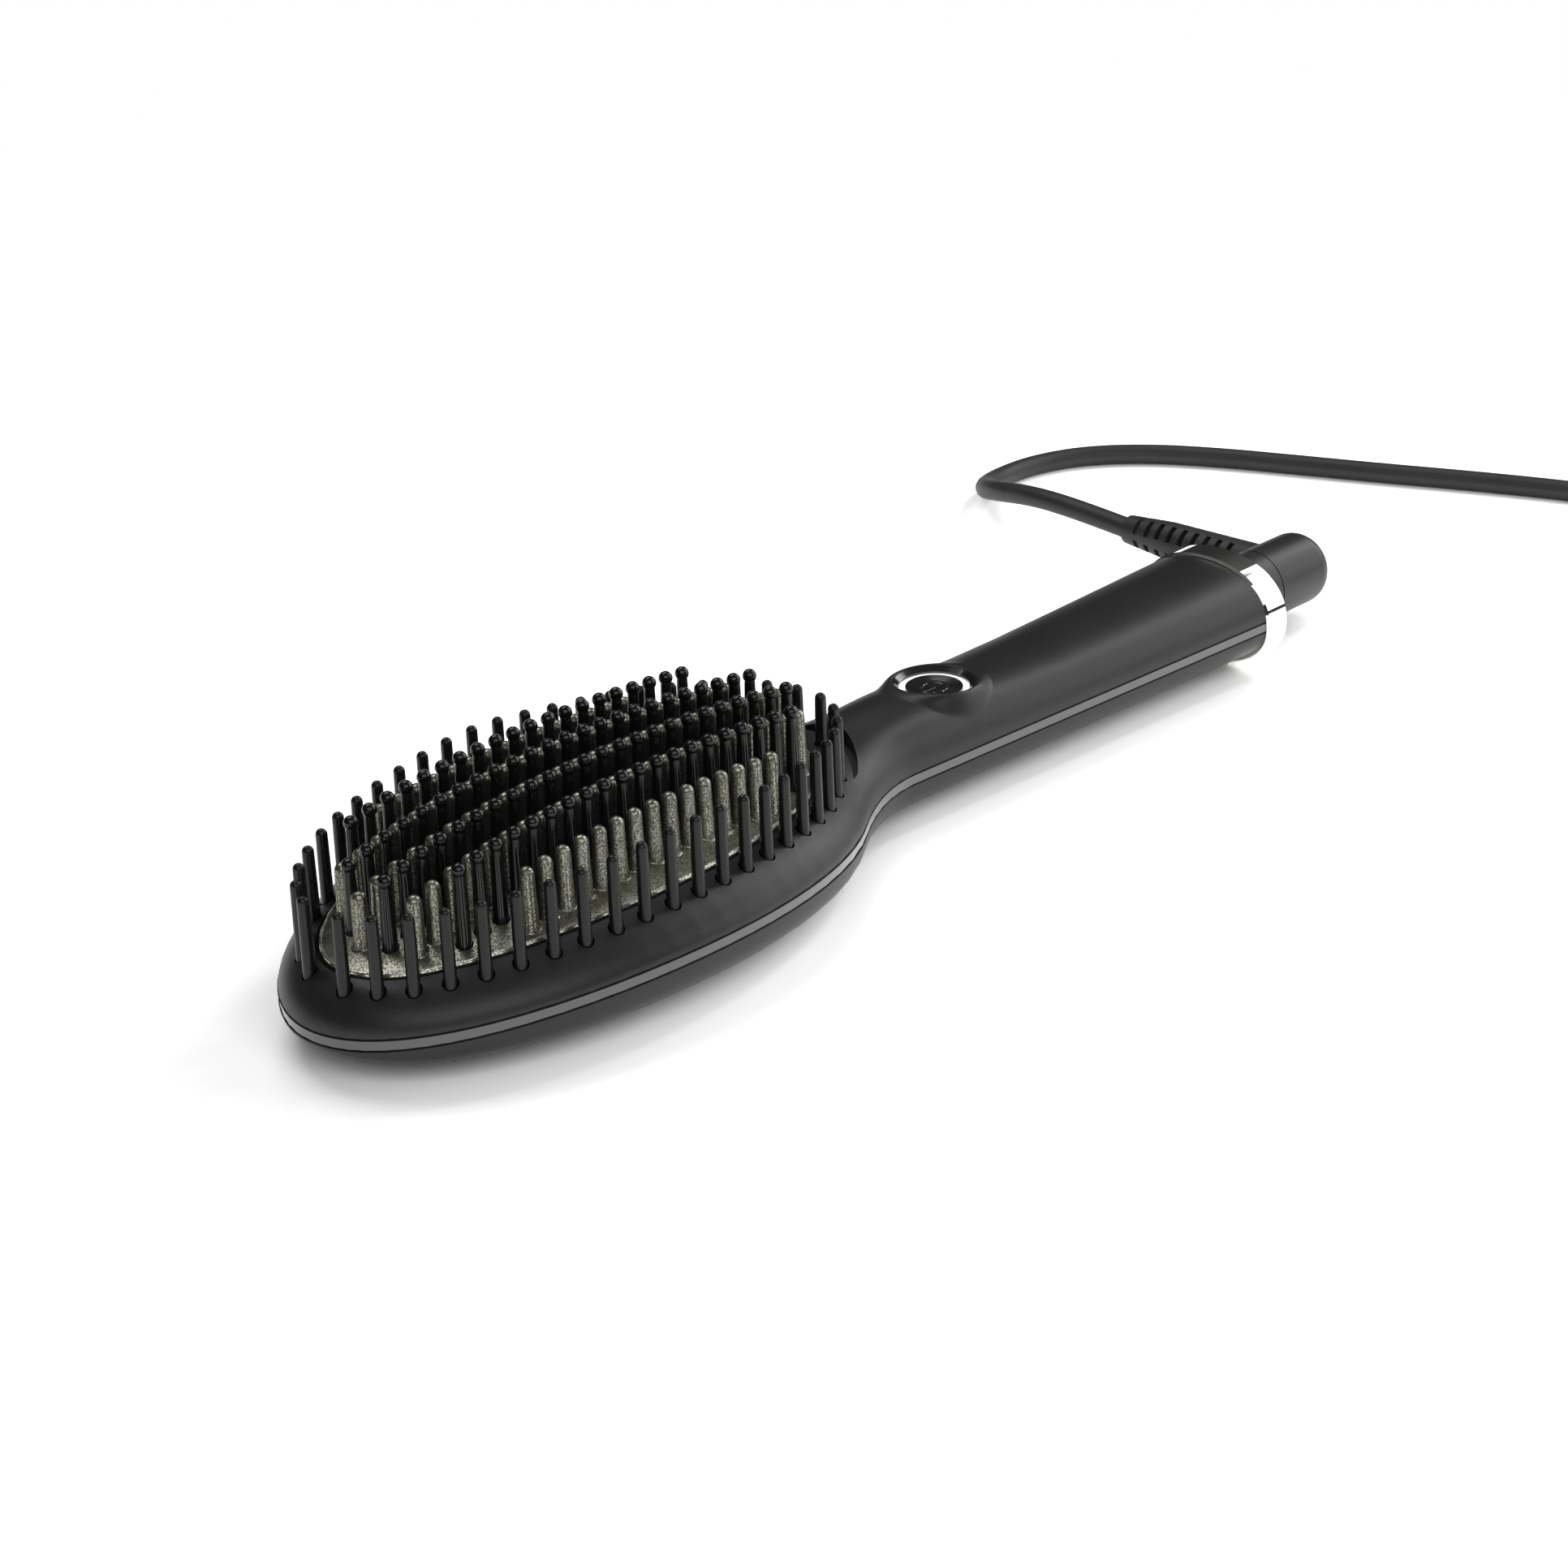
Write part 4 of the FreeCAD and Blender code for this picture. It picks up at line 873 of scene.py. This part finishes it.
@dataclass
class Studio:
    """Pale floor, white surround and soft lamps.

    Attributes:
        floor_half: half side of the floor in metres.
        plain: colour of the floor by which it lights the brush.
        seen: half of the colour that the camera and mirrors see.
        fade: distances in metres between which the floor turns plain white for them.
        sky: radiance of the surround overhead.
        horizon: radiance of the surround at the horizon.
        dusk: upward share of a direction between which one becomes the other.
        lamps: the soft boxes.
    """
    floor_half: float = 4.0
    plain: Colour = (0.9, 0.9, 0.9)
    seen: Colour = (0.98, 0.98, 0.98)
    fade: tuple[float, float] = (0.45, 0.65)
    sky: float = 0.14
    horizon: float = 0.03
    dusk: tuple[float, float] = (0.3, 0.9)
    lamps: Sequence[SoftBox] = (
        SoftBox("lamp_back", 78.0, 62.0, 1.1, (0.8, 0.5), 2.6),
        SoftBox("lamp_side", -26.0, 24.0, 1.1, (1.25, 0.75), 1.8),
        SoftBox("lamp_left", -124.0, 38.0, 1.1, (1.2, 0.7), 1.5),
        SoftBox("lamp_core", 0.0, 30.0, 1.0, (0.32, 0.3), 2.4),
        SoftBox("lamp_spot", -12.0, 52.0, 1.0, (0.12, 0.12), 16.0),
    )

    def build(self) -> None:
        """Adds the floor, the world and the lamps."""
        self._add_floor()
        self._set_world()
        for lamp in self.lamps:
            lamp.build()
        bpy.context.scene.view_settings.view_transform = "Standard"
        LOG.info("studio with %d lamps", len(self.lamps))

    def _add_floor(self) -> None:
        """Adds the floor, white and matt.

        The camera and mirrors see it at twice the level at which it lights the brush, which
        keeps its shadows, and plain white in the distance.
        """
        h = self.floor_half
        mesh = bpy.data.meshes.new("floor")
        mesh.from_pydata([(-h, -h, 0), (h, -h, 0), (h, h, 0), (-h, h, 0)], [], [(0, 1, 2, 3)])
        material, recipe = new_recipe("floor_white")
        seen = (recipe.add("ShaderNodeLightPath", out="Is Camera Ray")
                + recipe.add("ShaderNodeLightPath", out="Is Glossy Ray"))
        matt = recipe.add("ShaderNodeBsdfDiffuse", {}, {"Color": self.plain})
        white = recipe.add("ShaderNodeBsdfDiffuse", {}, {"Color": self.seen})
        double = recipe.add("ShaderNodeAddShader", {}, {0: white, 1: white})
        near = recipe.add("ShaderNodeMixShader", {}, {0: seen, 1: matt, 2: double})
        away = recipe.add("ShaderNodeVectorMath", {"operation": "LENGTH"},
                          {0: recipe.add("ShaderNodeTexCoord", out="Object")}, out="Value")
        far = recipe.add("ShaderNodeEmission", {}, {"Color": (1.0, 1.0, 1.0), "Strength": 1.0})
        recipe.surface(recipe.add("ShaderNodeMixShader", {}, {
            0: seen * away.smooth(*self.fade), 1: near, 2: far}))
        mesh.materials.append(material)
        floor = linked("floor", mesh)

    def _set_world(self) -> None:
        """White for the camera; elsewhere brighter overhead than at the horizon."""
        world = bpy.data.worlds.new("surround")
        bpy.context.scene.world = world
        world.use_nodes = True
        recipe = Recipe(world.node_tree)
        coords = recipe.add("ShaderNodeTexCoord", out="Generated")
        height = recipe.add("ShaderNodeSeparateXYZ", {}, {0: coords}, out="Z")
        level = height.smooth(*self.dusk).between(self.horizon, self.sky)
        seen = recipe.add("ShaderNodeLightPath", out="Is Camera Ray")
        light = recipe.add("ShaderNodeBackground", {}, {"Color": (1.0, 1.0, 1.0),
                                                        "Strength": level})
        white = recipe.add("ShaderNodeBackground", {}, {"Color": (1.0, 1.0, 1.0),
                                                        "Strength": 1.0})
        recipe.surface(recipe.add("ShaderNodeMixShader", {}, {0: seen, 1: light, 2: white}),
                       "World")


# ---------------------------------------------------------------- cord
@dataclass
class MainsLead:
    """Cord from the swivel to its plug, with the put-away length wound in a coil.

    Attributes:
        diameter: of the cord.
        route: points of the run from the strain relief to the coil.
        tail: points from the coil to the plug.
        coil_centre: middle of the coil.
        coil_radius: mean radius of its turns.
        coil_pitch: distance between neighbouring turns.
        coil_turns: turns in each of its two layers.
        left_out: part of a turn that the end of the coil leaves out.
        climb: part of a turn over which the cord climbs to the upper layer.
        layers: heights of the two layers.
        steps: points of one turn.
        fineness: order of the spline, its steps between points and those of its roundness.
    """
    diameter: float = 5.0
    route: Sequence[Point] = (
        (216.0, 45.0, 11.8), (216.0, 59.0, 12.9), (216.2, 75.0, 13.2), (219.5, 90.5, 10.0),
        (228.0, 102.5, 5.6), (241.0, 109.4, 2.9), (255.5, 110.0, 2.5), (269.5, 104.5, 2.5),
        (281.0, 93.0, 2.5), (290.0, 77.5, 2.5), (298.0, 59.0, 2.5), (306.5, 38.5, 2.5),
        (316.5, 16.5, 2.5), (325.5, -6.0, 2.5), (331.6, -26.5, 2.7), (333.6, -43.0, 3.2))
    tail: Sequence[Point] = (
        (411.6, -55.5, 8.1), (414.8, -43.6, 7.7), (419.4, -31.6, 7.1), (423.3, -19.6, 6.85))
    coil_centre: tuple[float, float] = (373.4, -45.0)
    coil_radius: float = 30.0
    coil_pitch: float = 5.1
    coil_turns: float = 3.75
    left_out: float = 0.043
    climb: float = 0.3
    layers: tuple[float, float] = (3.3, 8.3)
    steps: int = 14
    fineness: tuple[int, int, int] = (3, 6, 5)

    def coil_points(self) -> np.ndarray:
        """Points of the two layers of turns.

        The angle grows evenly from 180 degrees. The radius falls evenly over the lower
        layer and grows evenly over the upper one; the height changes at the end of the
        lower layer. Each radius is divided by the cosine of half a step, because the
        spline runs that much inside its points.

        Returns:
            The points, in millimetres.
        """
        total = 2.0 * self.coil_turns - self.left_out
        count = int(round(total * self.steps))
        turn = np.linspace(0.0, total, count + 1)[1:-1]
        half = self.coil_pitch * self.coil_turns / 2.0
        fall = np.abs(turn / self.coil_turns - 1.0)
        radius = (self.coil_radius - half + 2.0 * half * fall) / math.cos(math.pi / self.steps)
        angle = math.pi + 2.0 * math.pi * turn
        step = np.clip((turn - self.coil_turns + self.climb) / self.climb, 0.0, 1.0)
        height = self.layers[0] + (self.layers[1] - self.layers[0]) * step
        return np.stack((self.coil_centre[0] + radius * np.cos(angle),
                         self.coil_centre[1] + radius * np.sin(angle), height), axis=1)

    def build(self) -> None:
        """Makes the cord, its relief, tie and plug."""
        points = to_frame(np.concatenate((self.route, self.coil_points(), self.tail)))
        data = bpy.data.curves.new("mains_cord", "CURVE")
        data.dimensions = "3D"
        spline = data.splines.new("NURBS")
        spline.points.add(len(points) - 1)
        spline.points.foreach_set("co", np.column_stack((points, np.ones(len(points)))).ravel())
        spline.order_u, spline.resolution_u, data.bevel_resolution = self.fineness
        spline.use_endpoint_u = True
        data.bevel_depth = self.diameter * MM / 2.0
        data.use_fill_caps = True
        cord = keep(linked("mains_cord", data), Finish.CORD_RUBBER, "cord_swivel",
                    ("power_cord", "cord_coil", "cord_tail"))
        with_pieces = skins({"strain_relief": Finish.CORD_RUBBER, "cord_tie": Finish.TIE_STRAP,
                             "plug_body": Finish.SATIN_BLACK, "plug_pins": Finish.PIN_METAL},
                            "cord_swivel")


@dataclass
class Casing:
    """Shells, trim band, screws, and near-black beads along the two seams that paint in the
    seams' shadow.

    Attributes:
        bead: radius of a bead.
        sunk: how far its middle lies inside the surface.
        steps: stations along each side.
        sides: points round its section.
        short: how far it stops short of the handle's end and of the tip.
        crowding: power that puts stations close together at the tip.
    """
    bead: float = 0.24
    sunk: float = 0.1
    steps: int = 260
    sides: int = 8
    short: tuple[float, float] = (0.1, 0.001)
    crowding: float = 0.7

    def build(self) -> None:
        """Dresses the casing and adds the dark beads of painted seam shadow."""
        skins({"upper_shell": Finish.SOFT_SHELL, "lower_shell": Finish.SOFT_SHELL,
               "trim_band": Finish.GLOSS_BAND})
        dress({"case_screws": Finish.SCREW_STEEL})
        self._add_seam_shade("seam_shade_upper", 0.0)
        self._add_seam_shade("seam_shade_lower", BODY.band)

    def _add_seam_shade(self, name: str, drop: float) -> None:
        """Adds one dark bead of painted seam shadow round the outline.

        The outline is (x, -w(x)) to the tip and (x, w(x)) back, with stations
        x = end - span sin(t)^crowding for t from 0 to 90 degrees. The section is a circle
        about each point, in the plane of the outline's normal.

        Args:
            name: the bead's name.
            drop: how far it lies below the parting line.
        """
        t = np.linspace(0.0, math.pi / 2.0, self.steps)
        end = BODY.handle_end - self.short[0]
        x = end - (end + BODY.tip - self.short[1]) * np.sin(t) ** self.crowding
        near = np.stack((x, -BODY.width(x)), axis=1)
        outline = np.concatenate((near, near[-2::-1] * (1.0, -1.0)))
        along = np.gradient(outline, axis=0)
        normal = np.stack((along[:, 1], -along[:, 0]), axis=1)
        normal /= np.linalg.norm(normal, axis=1)[:, None]
        turn = around(self.sides)
        reach = self.bead * np.cos(turn)[None, :, None] - self.sunk
        plan = outline[:, None, :] - normal[:, None, :] * reach
        height = (BODY.parting(outline[:, 0]) - drop)[:, None] + self.bead * np.sin(turn)
        points = np.concatenate((plan, height[..., None]), axis=2)
        # near-black, low-sheen silicone bead: painted shadow of the seam, not a part of the brush
        keep(mesh_of(name, points[None], crease=80.0), Finish.SILICONE)


@dataclass
class BristleField:
    """Heater casting, ball pins and guard pins.

    Attributes:
        pitch: distance between neighbouring bristles of a row.
        shift: how far the rows are centred towards the neck.
        fin_rows: distance from the middle, and number of fins, of each kind of row.
        fin_foot: radius of a fin where it meets the plate.
        fillet: radius of the hollow round a fin's foot.
        plate: station of the plate's middle, its half length and half width.
        proud: height of the plate above the casing.
        sunk: how far a fillet's rim lies inside the plate.
        edge: inset and height of the points of the plate's bevelled edge.
        steps: points round a fillet, down its hollow, and round the plate.
    """
    pitch: float = 4.38
    shift: float = 0.28
    fin_rows: Sequence[tuple[float, int]] = ((0.0, 25), (10.0, 23), (20.2, 15))
    fin_foot: float = 1.8
    fillet: float = 0.45
    plate: tuple[float, float, float] = (-0.4, 58.05, 27.45)
    proud: float = 0.35
    sunk: float = 0.02
    edge: Sequence[tuple[float, float]] = ((-0.02, -0.6), (-0.02, -0.02), (0.1, 0.1), (0.3, 0.13),
                                           (0.55, 0.01))
    steps: tuple[int, int, int] = (20, 5, 300)

    def build(self) -> None:
        """Dresses the bristle field; adds the fins' fillets and the plate's edge."""
        dress({"plate_gasket": Finish.SILICONE, "guard_pin_frame": Finish.SATIN_NYLON})
        skins({"heater_plate": Finish.CERAMIC_COAT, "guard_pins": Finish.SATIN_NYLON})
        skins({f"ball_pin_strip_{k}": Finish.GLOSS_NYLON for k in range(1, 5)})
        self._add_fillets()
        self._add_edge()

    def _row(self, count: int) -> np.ndarray:
        """Stations of a row of bristles."""
        return self.shift + self.pitch * (np.arange(count) - (count - 1) / 2.0)

    def _add_fillets(self) -> None:
        """Adds the hollow fillet round each fin's foot.

        r = foot + w (1 - sin t), h = w (1 - cos t) above the plate at (x, y), for t from 0
        to 90 degrees.
        """
        places = np.concatenate([np.stack((self._row(count), np.full(count, side * y)), axis=1)
                                 for y, count in self.fin_rows
                                 for side in ((1,) if y == 0.0 else (-1, 1))])
        t = np.linspace(0.0, math.pi / 2.0, self.steps[1])
        radius = self.fin_foot + self.fillet * (1.0 - np.sin(t))
        points = turned(places, radius, np.zeros((len(places), len(t))), self.steps[0])
        points[..., 2] = (BODY.top(points[..., 0], points[..., 1]) + self.proud - self.sunk
                          + self.fillet * (1.0 - np.cos(t))[None, :, None])
        keep(mesh_of("fin_fillets", points), Finish.CERAMIC_COAT)

    def _add_edge(self) -> None:
        """Adds the bevelled edge of the plate.

        Each point of the section runs round the ellipse of the plate, inset by its first
        value, at the plate's height raised by its second.
        """
        middle, long, short = self.plate
        angle = around(self.steps[2])
        inset, raised = np.array(self.edge).T[..., None]
        x = middle + (long - inset) * np.cos(angle)
        y = (short - inset) * np.sin(angle)
        z = BODY.top(x, y) + self.proud + raised
        keep(mesh_of("plate_edge", np.stack((x, y, z), axis=-1)[None], crease=60.0),
             Finish.BARE_EDGE)


@dataclass
class ButtonPod:
    """Bezel, light guide and button, whose dished face has turned rings and a power mark.

    Attributes:
        x: station of the button's axis.
        radius: of the face.
        top: height of the face's rim.
        dish: depth of the face's middle.
        ring_pitch: distance between turned rings.
        ring_depth: their depth.
        mark_radius: of the broken circle.
        mark_width: half width of its line.
        mark_height: how far the mark stands up.
        mark_gap: half angle of its gap, in degrees; the gap faces the bristles.
        mark_blur: over how many degrees the line ends there.
        mark_slope: over what length the ridge of the mark falls beside its line.
        bar: half length of the bar against the radius of the circle.
        plain: how far round the mark the turned rings stay away, and over what length they
            begin.
        lip: height of the pod's lip.
        lip_rise: how much higher it is on its highest side.
        lip_towards: direction of that side in degrees from +X.
        blister: half length and half width of the flank's outer oval.
        wall: radius, and height from the lip, of the points inside the lip.
        sunk: how far the flank's rim, and the points below it, lie inside the handle.
        grid: points down and round the face, and down and round the flank.
        travel: how far the spring is pressed together; not used.
    """
    x: float = 98.3
    radius: float = 5.9
    top: float = 22.24
    dish: float = 0.4
    ring_pitch: float = 0.55
    ring_depth: float = 0.035
    mark_radius: float = 2.6
    mark_width: float = 0.2
    mark_height: float = 0.16
    mark_gap: float = 38.0
    mark_blur: float = 6.0
    mark_slope: float = 0.14
    bar: float = 0.62
    plain: tuple[float, float] = (0.5, 0.3)
    lip: float = 23.3
    lip_rise: float = 0.9
    lip_towards: float = 210.0
    blister: tuple[float, float] = (12.6, 11.6)
    wall: Sequence[tuple[float, float]] = ((8.72, -1.0), (8.72, -0.3), (8.79, -0.08), (9.0, 0.0))
    sunk: tuple[float, float] = (0.03, 0.6)
    grid: tuple[int, int, int, int] = (74, 160, 26, 144)
    travel: float = 0.72

    def build(self) -> None:
        """Dresses the button pod, adds its flank and the button's face, and gives the spring a
        smooth skin of its own.
        """
        skins({"button_bezel": Finish.GLOSS_TRIM, "light_guide": Finish.CLEAR_GUIDE})
        dress({"power_button": Finish.GLOSS_BUTTON, "tact_switch": Finish.SATIN_BLACK})
        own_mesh(skin("button_spring", Finish.SCREW_STEEL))
        self._add_face()
        self._add_blister()

    def _add_face(self) -> None:
        """Adds the face of the button.

        z = top - dish (1 - (r / R)^2) + rings + mark, where rings = depth cos(2 pi r / pitch)
        outside the mark, and the mark is a ridge along the broken circle and along a bar
        from the middle through the gap.
        """
        r, a = np.meshgrid(np.linspace(0.0, self.radius, self.grid[0]), around(self.grid[1]),
                           indexing="ij")
        x, y = r * np.cos(a), r * np.sin(a)
        away = np.degrees(np.abs(np.arctan2(y, -x)))
        circle = (self._ridge(np.abs(r - self.mark_radius))
                  * ease((away - self.mark_gap) / self.mark_blur + 0.5))
        half = self.bar * self.mark_radius
        bar = self._ridge(np.hypot(y, np.maximum(np.abs(-x - half) - half, 0.0)))
        outer = ease((r - self.mark_radius - self.plain[0]) / self.plain[1])
        rings = self.ring_depth * np.cos(2.0 * math.pi * r / self.ring_pitch) * outer
        z = (self.top - self.dish * (1.0 - (r / self.radius) ** 2) + rings
             + self.mark_height * np.maximum(circle, bar))
        points = np.stack((x + self.x, y, z), axis=-1)
        keep(mesh_of("button_face", points[None]), Finish.GLOSS_BUTTON, "power_button")

    def _add_blister(self) -> None:
        """Adds the smooth flank that runs from the pod's lip down to the handle.

        The lip stands at h(a) = lip + rise (1/2 + 1/2 cos(a - towards))^2, highest towards
        one side. The flank is h + (handle - h) ease(s) from the lip's radius to the outer
        oval, for s from 0 to 1; rounded points join the lip to the wall inside it, and
        points below the surface close the section.
        """
        angle = around(self.grid[3])
        turn = 0.5 + 0.5 * np.cos(angle - math.radians(self.lip_towards))
        lip = self.lip + self.lip_rise * turn ** 2
        outer = np.hypot(self.blister[0] * np.cos(angle), self.blister[1] * np.sin(angle))
        s = np.linspace(0.0, 1.0, self.grid[2])[:, None]
        wall = np.array(self.wall)
        radius = np.concatenate((np.broadcast_to(wall[:, :1], (len(wall), len(angle))),
                                 wall[-1, 0] + (outer - wall[-1, 0]) * s))
        x, y = self.x + radius * np.cos(angle), radius * np.sin(angle)
        handle = BODY.top(x[len(wall):], y[len(wall):]) - self.sunk[0]
        flank = lip + (handle - lip) * ease(s)
        z = np.concatenate((lip + wall[:, 1:], flank))
        under = np.stack((x[-1], y[-1], z[-1] - self.sunk[1]), axis=-1)[None]
        points = np.stack((x, y, z), axis=-1)
        keep(mesh_of("pod_blister", np.concatenate((points, under, points[:1]))[None],
                     crease=70.0), Finish.SOFT_SHELL)

    def _ridge(self, distance: np.ndarray) -> np.ndarray:
        """1 on the mark's line and 0 beside it."""
        return 1.0 - ease((distance - self.mark_width) / self.mark_slope)


@dataclass
class HandleEnd:
    """Mirror ring, collar, swivel barrel, and a dark ring in the gap between the last two that
    paints shade into the gap.

    Attributes:
        axis_height: of the swivel's axis.
        gap_shade: station and radius of the corners of the section of the dark ring, which paints
            shade into the gap.
        steps: points round the seal.
    """
    axis_height: float = 11.8
    gap_shade: Sequence[tuple[float, float]] = ((205.45, 5.8), (205.45, 8.1),
                                           (205.65, 8.1), (205.65, 5.8))
    steps: int = 96

    def build(self) -> None:
        """Dresses the handle end and adds the dark ring of painted gap shade."""
        skins({"end_ring": Finish.MIRROR_METAL, "end_collar": Finish.SATIN_BLACK})
        skins({"swivel_barrel": Finish.SATIN_BLACK}, "cord_swivel")
        dress({"swivel_retainer": Finish.SATIN_BLACK, "sprung_contacts": Finish.PIN_METAL,
               "slip_ring": Finish.PIN_METAL})
        self._add_gap_shade()

    def _add_gap_shade(self) -> None:
        """Adds the dark ring of painted gap shade: its section (x, r) turned about the swivel's
        axis.

        (x, y, z) = (x, r cos a, axis height + r sin a) for a all round.
        """
        angle = around(self.steps)
        section = np.array(self.gap_shade + self.gap_shade[:1])
        x = np.broadcast_to(section[:, :1], (len(section), len(angle)))
        points = np.stack((x, section[:, 1:] * np.cos(angle),
                           self.axis_height + section[:, 1:] * np.sin(angle)), axis=-1)
        # near-black silicone ring: painted shade that stops light showing through the swivel gap
        keep(mesh_of("swivel_gap_shade", points[None]), Finish.SILICONE)


@dataclass
class Insides:
    """Heater parts and electronics that the casing hides."""

    def build(self) -> None:
        """Dresses the hidden parts."""
        dress({"heater_frame": Finish.GREY_RESIN, "heat_shield": Finish.MICA,
               "frame_screws": Finish.SCREW_STEEL, "ceramic_heaters": Finish.HEATER_CERAMIC,
               "heater_cushions": Finish.SILICONE, "thermistor": Finish.HEATER_CERAMIC,
               "thermal_fuse": Finish.SCREW_STEEL, "main_board": Finish.BOARD_GREEN,
               "board_screws": Finish.SCREW_STEEL, "ring_lamps": Finish.LAMP_WHITE,
               "capacitor": Finish.SATIN_BLACK, "power_supply_coil": Finish.WINDING_COPPER,
               "triac": Finish.SATIN_BLACK, "terminal_block": Finish.GREY_RESIN,
               "heater_leads": Finish.WIRE_SKIN, "mains_leads": Finish.WIRE_SKIN})


def main() -> None:
    """Builds the camera, the studio and every sub-assembly."""
    logging.basicConfig(level=logging.INFO, format="%(name)s: %(message)s")
    for part in (Viewpoint(), Studio(), MainsLead(), Casing(), BristleField(), ButtonPod(),
                 HandleEnd(), Insides()):
        part.build()


if __name__ == "__main__":
    main()
